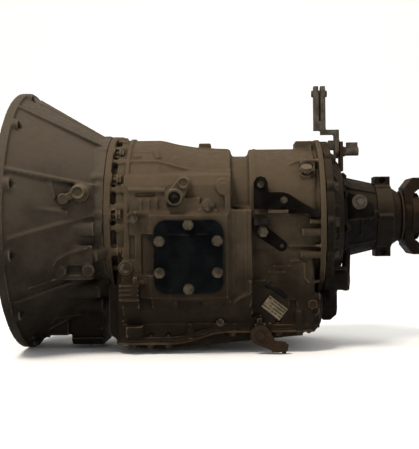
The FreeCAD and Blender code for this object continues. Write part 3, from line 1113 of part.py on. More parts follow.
def carrier(name, start, reach, front_r, rear_r):
    """Two plates joined by three pins."""
    front_face = start - d.carrier_side_gap - d.carrier_plate
    rear_face = start + d.gear_width + d.carrier_side_gap
    front = tube(name + "_front", front_r, 20, front_face, front_face + d.carrier_plate)
    rear = tube(name + "_rear", rear_r, 20, rear_face, rear_face + d.carrier_plate)
    pin = cylinder(name + "_pin", d.pin_r, rear_face - front_face, (front_face + 1, reach, 0))
    return [front, rear] + ring_of(name + "_pins", pin, 3)


def planetary_sets():
    sun_sizes = [(d.first_set_x, d.first_sun_teeth), (d.second_set_x, d.other_sun_teeth),
                 (d.third_set_x, d.other_sun_teeth)]
    suns = []
    for number, (start, teeth) in enumerate(sun_sizes, start=1):
        blank = gear_blank(f"sun_blank_{number}", teeth, d.gear_module, d.gear_module, d.gear_module * 1.25,
                           d.gear_backlash, start, d.gear_width)
        bore = cylinder(f"sun_bore_{number}", d.main_shaft_r + d.fit_gap, d.gear_width + 2, (start - 1, 0, 0))
        suns.append(without(f"sun_{number}", blank, [bore]))
    keep("sun_gears", grouped("sun_gears", suns))

    first_reach = planet_set(1, d.first_set_x, d.first_sun_teeth, d.first_planet_teeth)
    second_reach = planet_set(2, d.second_set_x, d.other_sun_teeth, d.other_planet_teeth)
    third_reach = planet_set(3, d.third_set_x, d.other_sun_teeth, d.other_planet_teeth)

    plate_end = d.gear_width + d.carrier_side_gap + d.carrier_plate
    first_plate_end = d.first_set_x + plate_end
    second_plate_end = d.second_set_x + plate_end
    keep("ring_gear_1", internal_ring("ring_gear_1", d.first_set_x - 1, d.first_set_x + d.gear_width + 1))
    keep("ring_gear_2", internal_ring("ring_gear_2", first_plate_end, d.second_set_x + d.gear_width + 1))
    third_ring = internal_ring("ring_gear_3", second_plate_end, d.third_set_x + d.gear_width + 1)
    keep("carrier_1", joined("carrier_1", carrier("carrier_first", d.first_set_x, first_reach, d.carrier_r,
                                                  d.ring_rim_r - 1)))
    keep("carrier_2", joined("carrier_2", carrier("carrier_second", d.second_set_x, second_reach, d.carrier_r,
                                                  d.ring_rim_r) + [third_ring]))
    hub = tube("parking_hub", d.parking_hub_r, d.output_shaft_r + d.fit_gap, d.output_shaft_start - 1,
               d.parking_end)
    wheel = tube("parking_wheel", d.parking_r, 30, d.parking_start, d.parking_end)
    notch = block("parking_notch", (d.parking_start - 1, d.parking_end + 1), (-5, 5), (d.parking_root_r, 100))
    notched = without("parking_toothed", wheel, ring_of("parking_notches", notch, d.parking_teeth))
    keep("carrier_3", joined("carrier_3", carrier("carrier_third", d.third_set_x, third_reach, d.carrier_r,
                                                  d.carrier_r) + [hub, notched]))
    plate = tube("reaction_plate", d.plate_outer_r, d.plate_inner_r, d.plate_start,
                 d.plate_start + d.plate_thick)
    keep("reaction_plates", grouped("reaction_plates", [
        moved(f"reaction_plate_{index}", plate, (d.plate_thick + d.plate_gap) * index, 0, 0)
        for index in range(int(d.plate_count.value))]))


def valve_body():
    valve_bores = [cylinder(f"valve_bore_{index}", d.valve_bore_r, d.valve_bore_length,
                            (d.valve_bore_start, y, d.valve_bore_z))
                   for index, y in enumerate((-50, -25, 0, 25, 50))]
    body = joined("valve_solid", blocks("valve_block", valve_blocks))
    keep("valve_body", without("valve_body", body, valve_bores))


def output_yoke():
    hub = turned("yoke_hub", [
        (d.yoke_start, d.yoke_spline_r), (d.yoke_start, d.yoke_hub_r), (d.shield_start, d.yoke_hub_r),
        (d.shield_start, d.shield_r), (d.shield_end, d.shield_r), (d.shield_end, d.yoke_barrel_r),
        (d.yoke_hub_end, d.yoke_barrel_r), (d.yoke_hub_end, d.yoke_spline_r)])
    arms = padded("yoke_arms", [
        (d.ear_start, -d.ear_root), (d.ear_start, d.ear_root), (d.ear_start + d.ear_slope, d.ear_outer),
        (d.ear_end, d.ear_outer), (d.ear_end, d.ear_inner), (d.ear_bend, d.ear_inner),
        (d.yoke_hub_end, d.ear_foot), (d.yoke_hub_end, -d.ear_foot), (d.ear_bend, -d.ear_inner),
        (d.ear_end, -d.ear_inner), (d.ear_end, -d.ear_outer), (d.ear_start + d.ear_slope, -d.ear_outer)],
        "XZ", -d.ear_half, d.ear_half)
    bore = cylinder("yoke_bore", d.yoke_spline_r, 60, (d.yoke_start - 2, 0, 0))
    saddle = cylinder("yoke_saddle", d.saddle_r, 160, (d.ear_end, 0, -80), "z")
    mid = (d.ear_outer + d.ear_inner) / 2
    holes = [cylinder(f"ear_hole_{index}", d.ear_bolt_r, d.ear_bolt_depth,
                      (d.ear_end, d.ear_bolt_y * side, mid * end), "-x")
             for index, (side, end) in enumerate(((-1, -1), (-1, 1), (1, -1), (1, 1)))]
    keep("output_yoke", without("output_yoke", joined("yoke_solid", [hub, arms]), [bore, saddle] + holes))

    nut = doc.addObject("Part::Prism", "nut_hexagon")
    nut.Polygon = 6
    nut.Placement = FreeCAD.Placement(FreeCAD.Vector(), DIRECTIONS["x"])
    bind(nut, Circumradius=d.nut_across_r, Height=d.nut_length)
    place(nut, d.nut_start, 0, 0)
    thread = cylinder("nut_thread", d.thread_r + d.fit_gap, d.nut_length + 2, (d.nut_start - 1, 0, 0))
    keep("yoke_nut", without("yoke_nut", nut, [thread]))


# ------------------------------------------------------------------------------------------------- build

power_take_off_cover()
converter_housing()
main_case()
rear_cover()
extension_housing()
mount_ring()
rear_parts()
oil_pan()
fasteners()
sensors()
breather_cap()
cable_bracket()
selector()
lower_bracket()
small_trim()
brake_gear()
torque_converter()
oil_pump()
shafts()
planetary_sets()
valve_body()
output_yoke()

doc.recompute()
troubled = [thing.Name for thing in doc.Objects if "Invalid" in thing.State or "Error" in thing.State]
if troubled:
    raise RuntimeError("objects that did not compute: " + ", ".join(troubled))

os.makedirs("parts", exist_ok=True)
for node, thing in NODES.items():
    shape = thing.Shape
    if shape.isNull() or not shape.isValid() or not shape.Solids:
        raise RuntimeError(f"{node} has no valid solid")
    shape.exportStep(f"parts/{node}.step")
    box = shape.BoundBox
    print(f"{node:22s} solids {len(shape.Solids):3d}  x {box.XMin:7.1f} {box.XMax:7.1f}  "
          f"y {box.YMin:7.1f} {box.YMax:7.1f}  z {box.ZMin:7.1f} {box.ZMax:7.1f}")
print(len(NODES), "nodes")
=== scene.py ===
import json
import math

import bmesh
import bpy
from mathutils import Matrix, Vector
from mathutils.bvhtree import BVHTree


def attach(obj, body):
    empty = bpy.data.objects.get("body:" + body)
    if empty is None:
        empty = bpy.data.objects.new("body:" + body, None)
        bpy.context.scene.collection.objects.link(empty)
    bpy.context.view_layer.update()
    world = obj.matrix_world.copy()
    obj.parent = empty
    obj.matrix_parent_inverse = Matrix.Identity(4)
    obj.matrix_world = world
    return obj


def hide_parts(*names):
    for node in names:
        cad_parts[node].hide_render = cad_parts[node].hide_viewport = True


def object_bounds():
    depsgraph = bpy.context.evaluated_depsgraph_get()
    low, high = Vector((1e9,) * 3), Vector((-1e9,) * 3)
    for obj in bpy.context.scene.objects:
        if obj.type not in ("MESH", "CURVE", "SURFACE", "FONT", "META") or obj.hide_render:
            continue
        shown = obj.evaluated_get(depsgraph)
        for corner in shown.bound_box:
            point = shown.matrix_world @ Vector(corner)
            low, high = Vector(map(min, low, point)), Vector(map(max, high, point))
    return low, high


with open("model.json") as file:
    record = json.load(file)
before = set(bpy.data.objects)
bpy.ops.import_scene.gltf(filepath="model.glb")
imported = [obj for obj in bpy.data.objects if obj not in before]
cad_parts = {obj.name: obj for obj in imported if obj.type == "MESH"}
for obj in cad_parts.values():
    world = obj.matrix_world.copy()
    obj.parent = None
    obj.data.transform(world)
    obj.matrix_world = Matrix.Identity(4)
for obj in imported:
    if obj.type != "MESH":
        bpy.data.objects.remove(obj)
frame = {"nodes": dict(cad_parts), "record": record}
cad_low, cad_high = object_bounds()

# Lengths in the tables below are millimetres in the row frame; MM turns them into Blender's metres.
# X runs along the shaft from the bell to the yoke, -Y is the near side, which the photo shows, and Z is up.
MM = 0.001
NEAR, FAR = -1, 1
X_AXIS = Vector((1, 0, 0))
nodes = frame["nodes"]


# ------------------------------------------------------------------------------------------ shape tools

def outward(angle):
    """The direction away from the shaft at an angle in degrees, from the top towards the near side."""
    turn = math.radians(angle)
    return Vector((0, -math.sin(turn), math.cos(turn)))


def circle(centre, radius, y, steps):
    """Points round a circle that faces along Y, with its centre given as x, z."""
    turns = [2 * math.pi * step / steps for step in range(steps)]
    return [(centre[0] + radius * math.cos(turn), y, centre[1] + radius * math.sin(turn)) for turn in turns]


class Clay:
    """Overlapping closed shells in millimetres, later melted into one casting with soft corners."""

    def __init__(self):
        self.mesh = bmesh.new()

    def node(self, name):
        """Adds the shells of a CAD node."""
        self.mesh.from_mesh(nodes[name].data)
        return self

    def hull(self, points):
        """The tightest convex block round some points."""
        corners = [self.mesh.verts.new(Vector(p) * MM) for p in points]
        bmesh.ops.convex_hull(self.mesh, input=corners)

    def slab(self, x, y, z):
        """A block with straight sides, given as its x, y and z spans."""
        self.hull([(a, b, c) for a in x for b in y for c in z])

    def beam(self, x, outline, side=1):
        """A block between two x values with its outline as y, z corners; a side of -1 mirrors it."""
        self.hull([(a, y * side, z) for a in x for y, z in outline])

    def plate(self, y, outline):
        """A block between two y values with its outline as x, z corners."""
        self.hull([(x, b, z) for b in y for x, z in outline])

    def bar(self, start, end, radius, end_radius=None, sides=20):
        """A round bar between two points, tapered if an end radius is given."""
        start, end = Vector(start), Vector(end)
        end_radius = radius if end_radius is None else end_radius
        along = (end - start).normalized()
        across = along.orthogonal().normalized()
        other = along.cross(across)
        points = []
        for spot, size in ((start, radius), (end, end_radius)):
            for step in range(sides):
                angle = 2 * math.pi * step / sides
                points.append(spot + (across * math.cos(angle) + other * math.sin(angle)) * size)
        self.hull(points)

    def post(self, x, angle, distance, radius):
        """A round bar along the shaft's direction, at an angle about the shaft and a distance from it."""
        foot = outward(angle) * distance
        self.bar(foot + X_AXIS * x[0], foot + X_AXIS * x[1], radius)

    def path(self, points, radius):
        """Round bars along a chain of points, such as a cast ridge or a bent hose."""
        for start, end in zip(points, points[1:]):
            self.bar(start, end, radius)

    def ball(self, centre, radius):
        """A round ball, such as the domed end of a column."""
        ball = bmesh.new()
        bmesh.ops.create_icosphere(ball, subdivisions=3, radius=1)
        points = [Vector(centre) + corner.co * radius for corner in ball.verts]
        ball.free()
        self.hull(points)

    def ring_part(self, x, inner, outer, first, last, step=6):
        """A curved band about the X axis between two angles, measured from the top towards -Y."""
        angle = first
        while angle < last - 0.01:
            upto = min(angle + step, last)
            points = []
            for turn in (angle, upto):
                points += [outward(turn) * r + X_AXIS * a for a in x for r in (inner, outer)]
            self.hull(points)
            angle = upto

    def object(self, name):
        """The shells as one new object in the scene."""
        bmesh.ops.remove_doubles(self.mesh, verts=self.mesh.verts, dist=1e-6)
        mesh = bpy.data.meshes.new(name)
        self.mesh.to_mesh(mesh)
        self.mesh.free()
        thing = bpy.data.objects.new(name, mesh)
        bpy.context.scene.collection.objects.link(thing)
        return thing


def settled(thing):
    """The object with its modifiers turned into its own mesh."""
    bpy.context.view_layer.update()
    evaluated = thing.evaluated_get(bpy.context.evaluated_depsgraph_get())
    mesh = bpy.data.meshes.new_from_object(evaluated)
    thing.modifiers.clear()
    thing.data = mesh
    for polygon in mesh.polygons:
        polygon.use_smooth = True
    return thing


def add_melt(thing, name, voxel):
    """Joins the shells of a thing into one skin. A small voxel, in millimetres, keeps finer shapes."""
    remesh = thing.modifiers.new(name, "REMESH")
    remesh.mode = "VOXEL"
    remesh.voxel_size = voxel * MM


def melted(name, clay, body, stands_for, voxel, softness, hollows=None):
    """Melts the shells into one soft-cornered casting, cuts its hollows and puts it on its CAD body."""
    piece = clay.object(name)
    add_melt(piece, "melt", voxel)
    if hollows is not None:
        tool = hollows.object(name + "_hollows")
        add_melt(tool, "melt", voxel)
        cut = piece.modifiers.new("hollow", "BOOLEAN")
        cut.operation = "DIFFERENCE"
        cut.solver = "MANIFOLD"
        cut.object = tool
        add_melt(piece, "melt_again", voxel)
    soften = piece.modifiers.new("soften", "SMOOTH")
    soften.factor = 0.5
    soften.iterations = softness
    settled(piece)
    if hollows is not None:
        bpy.data.objects.remove(tool)
    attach(piece, body)
    if stands_for:
        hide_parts(*stands_for)
    return piece


def bevelled(name, width):
    """Rounds the sharp edges of a CAD node, which stays as it is underneath."""
    rounded_above = math.radians(35)
    thing = nodes[name]
    weld = thing.modifiers.new("weld", "WELD")
    weld.merge_threshold = 1e-6
    bevel = thing.modifiers.new("bevel", "BEVEL")
    bevel.width = width * MM
    bevel.segments = 2
    bevel.limit_method = "ANGLE"
    bevel.angle_limit = rounded_above
    bevel.harden_normals = False


# ----------------------------------------------------------------------------------------- material tools

def shaded(colour, factor):
    """A colour made darker or brighter by a factor."""
    return [min(1, part * factor) for part in colour]


class Look:
    """A node material built up one block at a time."""

    def __init__(self, name):
        self.material = bpy.data.materials.new(name)
        self.material.use_nodes = True
        self.tree = self.material.node_tree
        self.tree.nodes.clear()
        self.output = self.tree.nodes.new("ShaderNodeOutputMaterial")
        self.shader = self.tree.nodes.new("ShaderNodeBsdfPrincipled")
        self.link(self.shader.outputs["BSDF"], self.output.inputs["Surface"])
        self.place = self.tree.nodes.new("ShaderNodeTexCoord").outputs["Object"]
        self.geometry = self.tree.nodes.new("ShaderNodeNewGeometry")

    def link(self, source, target):
        """Joins one node's output to another's input."""
        self.tree.links.new(source, target)

    def feed(self, value, socket):
        """Sets a socket from a number, a colour or another node's output."""
        if isinstance(value, bpy.types.NodeSocket):
            self.link(value, socket)
        elif isinstance(value, (tuple, list)) and len(value) == 3 and socket.type == "RGBA":
            socket.default_value = (*value, 1)
        else:
            socket.default_value = value

    def noise(self, size_mm, detail=4, rough=0.55, stretch=None):
        """Cloudy noise whose features are about size_mm across."""
        node = self.tree.nodes.new("ShaderNodeTexNoise")
        node.inputs["Scale"].default_value = 1 / (size_mm * MM)
        node.inputs["Detail"].default_value = detail
        node.inputs["Roughness"].default_value = rough
        place = self.place
        if stretch:
            mapping = self.tree.nodes.new("ShaderNodeMapping")
            mapping.inputs["Scale"].default_value = stretch
            self.link(place, mapping.inputs["Vector"])
            place = mapping.outputs["Vector"]
        self.link(place, node.inputs["Vector"])
        return node.outputs["Fac"]

    def pits(self, size_mm):
        """Distance to scattered points, for pits and grains."""
        node = self.tree.nodes.new("ShaderNodeTexVoronoi")
        node.inputs["Scale"].default_value = 1 / (size_mm * MM)
        self.link(self.place, node.inputs["Vector"])
        return node.outputs["Distance"]

    def between(self, value, low, high, out_low=0.0, out_high=1.0):
        """A value squeezed smoothly from one range to another."""
        node = self.tree.nodes.new("ShaderNodeMapRange")
        node.interpolation_type = "SMOOTHSTEP"
        self.feed(value, node.inputs["Value"])
        for end, number in (("From Min", low), ("From Max", high), ("To Min", out_low), ("To Max", out_high)):
            node.inputs[end].default_value = number
        return node.outputs["Result"]

    def maths(self, operation, first, second=0.0):
        """Arithmetic on two values. Products, differences and the larger of two stay between 0 and 1."""
        node = self.tree.nodes.new("ShaderNodeMath")
        node.operation = operation
        node.use_clamp = operation in ("MULTIPLY", "MAXIMUM", "SUBTRACT")
        self.feed(first, node.inputs[0])
        self.feed(second, node.inputs[1])
        return node.outputs["Value"]

    def mix(self, factor, first, second):
        """A blend of two colours: the first at a factor of 0, the second at 1."""
        node = self.tree.nodes.new("ShaderNodeMix")
        node.data_type = "RGBA"
        self.feed(factor, node.inputs["Factor"])
        self.feed(first, node.inputs["A"])
        self.feed(second, node.inputs["B"])
        return node.outputs["Result"]

    def split(self, vector, axis):
        """One coordinate of a vector."""
        node = self.tree.nodes.new("ShaderNodeSeparateXYZ")
        self.link(vector, node.inputs["Vector"])
        return node.outputs[axis]

    def upward(self):
        """How far the surface faces up, from -1 to 1."""
        return self.split(self.geometry.outputs["Normal"], "Z")

    def height(self):
        """Height in the row frame, in metres."""
        return self.split(self.place, "Z")

    def edges(self):
        """Convex edges above 0.5, hollows below."""
        return self.geometry.outputs["Pointiness"]

    def corners(self, reach_mm):
        """1 in the open, towards 0 in corners."""
        node = self.tree.nodes.new("ShaderNodeAmbientOcclusion")
        node.samples = 4
        node.inputs["Distance"].default_value = reach_mm * MM
        return node.outputs["AO"]

    def bump(self, height, depth_mm, strength):
        """Fine relief, no deeper than depth_mm."""
        node = self.tree.nodes.new("ShaderNodeBump")
        node.inputs["Strength"].default_value = strength
        node.inputs["Distance"].default_value = depth_mm * MM
        self.feed(height, node.inputs["Height"])
        self.link(node.outputs["Normal"], self.shader.inputs["Normal"])

    def finish(self, colour, roughness, metallic=0.0, shine=0.5):
        """Sets the surface and gives back the material."""
        self.feed(colour, self.shader.inputs["Base Color"])
        self.feed(roughness, self.shader.inputs["Roughness"])
        self.feed(metallic, self.shader.inputs["Metallic"])
        self.feed(shine, self.shader.inputs["Specular IOR Level"])
        return self.material


def cast_look(name, dust, metal, shade_colour, unshaded_above=0.08, shaded_below=-0.19):
    """Sand-cast metal: dust lies on what faces up, painted shade darkens corners and the bottom, and pale
    edges are partly a painted highlight.
    """
    look = Look(name)
    cloud = look.noise(60, 4, 0.5)
    patches = look.noise(13, 5, 0.7)
    grain = look.noise(1.5, 3)
    pits = look.pits(2.4)
    # Patchy metal with dust on what faces up.
    base = look.mix(look.between(patches, 0.38, 0.62), metal, shaded(metal, 0.86))
    facing = look.between(look.upward(), -0.35, 0.85)
    facing = look.maths("ADD", facing, look.between(cloud, 0.3, 0.7, -0.12, 0.12))
    base = look.mix(look.between(facing, 0.05, 0.95), base, dust)
    # Painted shade towards the bottom, then in wide corners and darker in tight ones.
    level = look.maths("ADD", look.height(), look.between(cloud, 0.25, 0.75, -0.045, 0.045))
    base = look.mix(look.between(level, unshaded_above, shaded_below), base, shade_colour)
    wide_corner = look.between(look.corners(26), 0.86, 0.3)
    base = look.mix(look.maths("MULTIPLY", wide_corner, 0.8), base, shaded(shade_colour, 0.8))
    tight_corner = look.between(look.corners(6), 0.8, 0.35)
    base = look.mix(look.maths("MULTIPLY", tight_corner, 0.7), base, shaded(shade_colour, 0.35))
    # Pale edges, partly rubbed wear and partly a painted highlight, and specks.
    rubbed_and_highlit = look.maths("MULTIPLY", look.between(look.edges(), 0.515, 0.57), look.between(patches, 0.3, 0.55))
    base = look.mix(look.maths("MULTIPLY", rubbed_and_highlit, 0.75), base, shaded(dust, 2.1))
    speck = look.between(grain, 0.64, 0.76)
    base = look.mix(look.maths("MULTIPLY", speck, 0.22), base, shaded(dust, 1.35))
    rough = look.between(patches, 0.3, 0.7, 0.55, 0.85)
    texture = look.maths("ADD", look.maths("MULTIPLY", grain, 0.6), look.maths("MULTIPLY", pits, 0.5))
    look.bump(texture, 0.5, 0.7)
    return look.finish(base, rough, 0.0, 0.06)


def paint_look(name, paint, bare, dust, scratch, rough, shine=0.05):
    """Old dark paint with scratches, scuffed edges and a film of dust."""
    look = Look(name)
    cloud = look.noise(30, 4)
    base = look.mix(look.between(cloud, 0.35, 0.7), paint, [part * 1.5 + 0.002 for part in paint])
    lines = look.noise(3.4, 3, 0.6, stretch=(0.12, 1, 2.6))
    tilted = look.noise(2.6, 3, 0.6, stretch=(1.8, 1, 0.16))
    scratches = look.maths("MAXIMUM", look.between(lines, 0.71, 0.75), look.between(tilted, 0.73, 0.77))
    base = look.mix(look.maths("MULTIPLY", scratches, scratch), base, bare)
    worn = look.maths("MULTIPLY", look.between(look.edges(), 0.52, 0.58), look.between(cloud, 0.4, 0.6))
    base = look.mix(look.maths("MULTIPLY", worn, 0.6), base, bare)
    dusty = look.maths("MULTIPLY", look.between(look.upward(), 0.1, 0.9), look.between(cloud, 0.3, 0.6))
    base = look.mix(look.maths("MULTIPLY", dusty, 0.75), base, dust)
    look.bump(look.noise(1.5, 3), 0.12, 0.6)
    return look.finish(base, look.between(cloud, 0.3, 0.7, rough, rough + 0.25), 0.0, shine)


def metal_look(name, metal, dirt_and_shade, dirt_and_shade_strength, rough, grain_mm=1.2, depth=0.1, metallic=0.9):
    """Machined or plated metal with patchy dirt, painted shade in its corners and uneven shine."""
    look = Look(name)
    cloud = look.noise(8, 4, 0.6)
    base = look.mix(look.between(cloud, 0.35, 0.65), metal, shaded(metal, 0.72))
    film = look.maths("MULTIPLY", look.between(look.noise(14, 4), 0.45, 0.62), dirt_and_shade_strength)
    base = look.mix(film, base, dirt_and_shade)
    # Painted shade: the dirt colour also darkens corners.
    corner = look.between(look.corners(5), 0.8, 0.3)
    base = look.mix(look.maths("MULTIPLY", corner, dirt_and_shade_strength), base, dirt_and_shade)
    look.bump(look.noise(grain_mm, 3), depth, 0.5)
    return look.finish(base, look.between(cloud, 0.3, 0.7, rough, rough + 0.25), metallic)


def rust_look(name, steel, rust, deep_rust_and_shade):
    """Rusted steel: brown scale over dark metal."""
    look = Look(name)
    cloud = look.noise(12, 5, 0.7)
    base = look.mix(look.between(cloud, 0.38, 0.6), steel, rust)
    base = look.mix(look.between(look.noise(4, 4), 0.55, 0.7), base, deep_rust_and_shade)
    # Painted shade: the deep rust colour also darkens corners.
    corner = look.between(look.corners(8), 0.8, 0.3)
    base = look.mix(look.maths("MULTIPLY", corner, 0.6), base, deep_rust_and_shade)
    look.bump(look.noise(1.1, 4), 0.35, 0.8)
    return look.finish(base, look.between(cloud, 0.3, 0.7, 0.6, 0.9), 0.1, 0.1)


# ------------------------------------------------------------------------------------------- the castings

housings = ("converter_housing", "main_case", "rear_cover", "extension_housing", "mount_ring")


def ray_tree(name):
    """A search tree over the faces of a CAD node."""
    mesh = nodes[name].data
    corners = [vertex.co for vertex in mesh.vertices]
    faces = [polygon.vertices for polygon in mesh.polygons]
    return BVHTree.FromPolygons(corners, faces)


trees = [ray_tree(name) for name in housings]
far_away = 1000  # where the rays start, well outside the housings


def touch(origin, direction):
    """The first point where a ray meets the housings, or None."""
    start = Vector(origin) * MM
    hits = [tree.ray_cast(start, Vector(direction))[0] for tree in trees]
    hits = [hit for hit in hits if hit is not None]
    return min(hits, key=lambda hit: (hit - start).length) / MM if hits else None


def skin(x, z, out=0.0, side=NEAR):
    """The point at x, z on one side of the housings, moved outwards by out."""
    hit = touch((x, far_away * side, z), (0, -side, 0))
    y = hit.y if hit is not None else 0.0
    return Vector((x, y + out * side, z))


def around(x, angle, out=0.0):
    """The point on the housings at x and an angle about the shaft, moved outwards by out."""
    usual_distance = 100
    arm = outward(angle)
    hit = touch(X_AXIS * x + arm * far_away, -arm)
    return hit + arm * out if hit is not None else X_AXIS * x + arm * usual_distance


def line_points(places, step=12):
    """Places with more added between them, so that a line follows a curved surface."""
    points = [places[0]]
    for start, end in zip(places, places[1:]):
        count = max(1, round(math.dist(start, end) / step))
        for index in range(1, count + 1):
            points.append([a + (b - a) * index / count for a, b in zip(start, end)])
    return points


def ridge(clay, places, radius, out=0.0, side=NEAR):
    """A raised line across one side through x, z places."""
    clay.path([skin(x, z, out, side) for x, z in line_points(places)], radius)


def ridges(clay, table, side=NEAR):
    """Raised lines, each a row of its x, z places, its radius and how far out its middle lies."""
    for places, radius, out in table:
        ridge(clay, places, radius, out, side)


def hoop_line(clay, places, radius, out=0.0):
    """A raised line through places given as x and angle about the shaft."""
    clay.path([around(x, angle, out) for x, angle in line_points(places)], radius)


def stud(clay, x, z, radius, height, side=NEAR):
    """A round cast boss that stands out of one side and narrows a little."""
    root, narrowing = 5, 0.85
    foot = skin(x, z, 0, side)
    start, end = foot - Vector((0, root * side, 0)), foot + Vector((0, height * side, 0))
    clay.bar(start, end, radius, radius * narrowing)


# The bell's flange holes, and the bolts that join the bell to the case. Distances are from the shaft.
flange_hole_angles = range(15, 375, 30)
flange_hole_distance = 233.35
joint_bolt_angles = (12, 37, 62, 87, 112, -12, -37, -62, -87, -112)
low_joint_bolt_angles = (135, -135)
joint_bolt_distance = 142

# Raised lines on each side of the bell.
bell_ridges = (
    ([(20, -33), (88, -12), (156, 8)], 2.6, 1.2),
    ([(44, -118), (99, -101)], 2.4, 1.0),
    ([(83, 68), (92, 36)], 3.0, 0.5),
    ([(85, -82), (92, -70), (108, -61), (155, -48)], 2.6, 1.0),
    ([(60, -190), (72, -179), (124, -176)], 3.0, 1.0),
)
# Bosses on each side of the bell: x, z, radius and height.
bell_studs = ((97, -91, 12, 5), (146, -90, 12, 5), (152, 51, 9, 4))


def bell_side(clay, hollows, side):
    """Ribs, bosses and the framed pocket on one side of the bell, and its cut lower corner."""
    ridges(clay, bell_ridges, side)
    for x, z, radius, height in bell_studs:
        stud(clay, x, z, radius, height, side)
    clay.bar(skin(60, 18, -1, side), skin(112, 12, 0, side), 1.5, 5.5)
    clay.bar(skin(114, -17, -4, side), skin(160, -17, -10, side), 5, 17)
    clay.bar(skin(148, 62, -2, side), skin(148, 38, -2, side), 6)
    clay.bar((92, 47 * side, -222), (150, 47 * side, -222), 7)
    clay.bar(skin(112, -206, -4, side), skin(150, -206, -2, side), 5)
    face = skin(122, -74, 0, side).y
    mouth = [(x, face + 4 * side, z) for x in (108, 136) for z in (-98, -80)]
    bottom = [(x, face - 7 * side, z) for x in (110, 134) for z in (-96, -82)]
    hollows.hull(mouth + bottom)
    hollows.beam((28, 160), ((90, -245), (90, -196), (38, -245)), side)


def bell_casting():
    """The bell with its ribs, its joint bolts' bosses and the pads and holes round its flange."""
    clay, hollows = Clay().node("converter_housing"), Clay()
    for side in (NEAR, FAR):
        bell_side(clay, hollows, side)
    clay.bar((88, -150, -72), (150, -158, -70), 13, 15)
    for angle in (0, -14, 14):
        hoop_line(clay, [(24, angle), (150, angle * 0.6)], 3.0)
    for angle in joint_bolt_angles + low_joint_bolt_angles:
        clay.bar(around(150, angle, -9), around(169, angle, -9), 12)
    for angle in flange_hole_angles:
        clay.post((14, 26), angle, flange_hole_distance, 11.5)
        hollows.post((-9, 40), angle, flange_hole_distance, 5.8)
    return melted("bell_casting", clay, "casing", ["converter_housing"], 1.9, 2, hollows)


ladder_angles = (16, 31, 47, 70, 82, 96, 112, 125)


def case_front(clay, hollows):
    """The ladder of pockets behind the joint flange. Angles are in degrees about the shaft."""
    half_rung, pocket_edge = 1.6, 2.6
    hoop_past_top, hoop_length = 4, 132
    for angle in joint_bolt_angles:
        clay.post((184, 201), angle, joint_bolt_distance, 12.5)
    for side in (NEAR, FAR):
        for angle in ladder_angles:
            clay.ring_part((181, 209), 138, 155, -side * angle - half_rung, -side * angle + half_rung, 4)
        first = -hoop_past_top if side == NEAR else hoop_past_top - hoop_length
        clay.ring_part((206, 213), 140, 155.5, first, first + hoop_length)
        for start, end in zip(ladder_angles, ladder_angles[1:]):
            low, high = sorted((-side * (start + pocket_edge), -side * (end - pocket_edge)))
            hollows.ring_part((184, 205), 150.5, 165, low, high)


# Raised lines on the near side of the case, from the bell to the drum.
case_ridges = (
    ([(209, 103), (263, 103), (321, 87), (392, 83)], 3.4, 0.5),
    ([(209, 124), (250, 122)], 2.0, 0.0),
    ([(288, 106), (296, 112), (304, 106), (296, 101), (288, 106)], 1.2, 0.4),
    ([(306, 104), (330, 101)], 1.1, 0.4),
    ([(306, 110), (330, 107)], 1.1, 0.4),
    ([(214, 51), (280, 49)], 3.6, 1.5),
    ([(236, 34), (236, 12)], 3.2, 0.5),
    ([(250, 34), (250, 12)], 3.2, 0.5),
    ([(264, 34), (264, 12)], 3.2, 0.5),
    ([(224, 10), (262, 7), (274, 7)], 4.0, 1.5),
    ([(214, -193), (232, -183), (256, -179), (300, -175), (350, -171), (374, -158)], 4.5, 1.0),
    ([(400, 12), (400, -135)], 2.4, 0.4),
    ([(421, 12), (421, -135)], 2.4, 0.4),
    ([(394, 52), (400, 20), (431, 16)], 2.4, 0.4),
    ([(398, -150), (412, -141), (428, -134), (428, -112)], 4.0, 1.0),
)
# Blocks beside the take-off pad and the pockets cut round it, each as its x, y and z spans.
case_blocks = (
    ((338, 372), (-160, -140), (1, 15)),
    ((221, 229), (-159, -140), (-138, -103)),
    ((229, 256), (-156, -140), (-116, -109)),
)
case_pockets = (
    ((232, 254), (-170, -142), (-163, -141)),
    ((236, 260), (-170, -145.5), (-100, -28)),
    ((215, 224), (-170, -145.5), (-72, -30)),
    ((300, 344), (-170, -146), (-168, -146)),
    ((226, 262), (-170, -146), (38, 45)),
)
# Round columns over the pan rail: x and the height of the top.
column_tops = ((320, -184), (400, -172), (516, -173))
column_y, column_radius, column_length = 121, 8.5, 34


def case_walls(clay, hollows):
    """The take-off pad's edge, and the side walls' shoulder, sloped foot and rear corner."""
    pad = [(x, -163.4, z) for x in (253, 388) for z in (-140, 4)]
    clay.hull(pad + [(x, -149, z) for x in (240, 401) for z in (-154, 17)])
    for side in (NEAR, FAR):
        clay.beam((203, 430), ((149, -140), (149, -148), (128, -176), (120, -204), (120, -140)), side)
        hollows.beam((190, 440), ((165, -140), (165, -200), (124, -188)), side)
        hollows.plate((165 * side, 140 * side), ((438, -190), (438, -110), (424, -190)))
    clay.hull([(206, -121, -212), (206, -121, -186), (206, -144, -212), (206, -144, -186),
               (236, -121, -212), (236, -121, -186), (236, -140, -190), (206, -128, -214)])


def case_side(clay, hollows):
    """Ledges, bosses, columns and pockets round the power take-off pad."""
    ridges(clay, case_ridges)
    clay.bar(skin(219, 112, -2), skin(231, 112, -2), 5.5)
    clay.bar(skin(256, 122, -2), skin(264, 108, -2), 6)
    clay.bar(skin(205, -181, -2), skin(212, -208, -2), 11)
    clay.bar(skin(374, -188, -6), skin(374, -188, 1), 14, 11)
    stud(clay, 383, 51, 13, 3)
    for x, y, z in case_blocks:
        clay.slab(x, y, z)
    for level in (-119, -127, -135, -144):
        clay.slab((197, 231), (-159, -150), (level - 1.6, level + 1.6))
    for x, top in column_tops:
        clay.bar((x, -column_y, top - column_length), (x, -column_y, top), column_radius)
        clay.ball((x, -column_y, top), column_radius)
    for x, y, z in case_pockets:
        hollows.slab(x, y, z)
    hollows.bar((224, -170, 1), (224, -150, 1), 4.5)


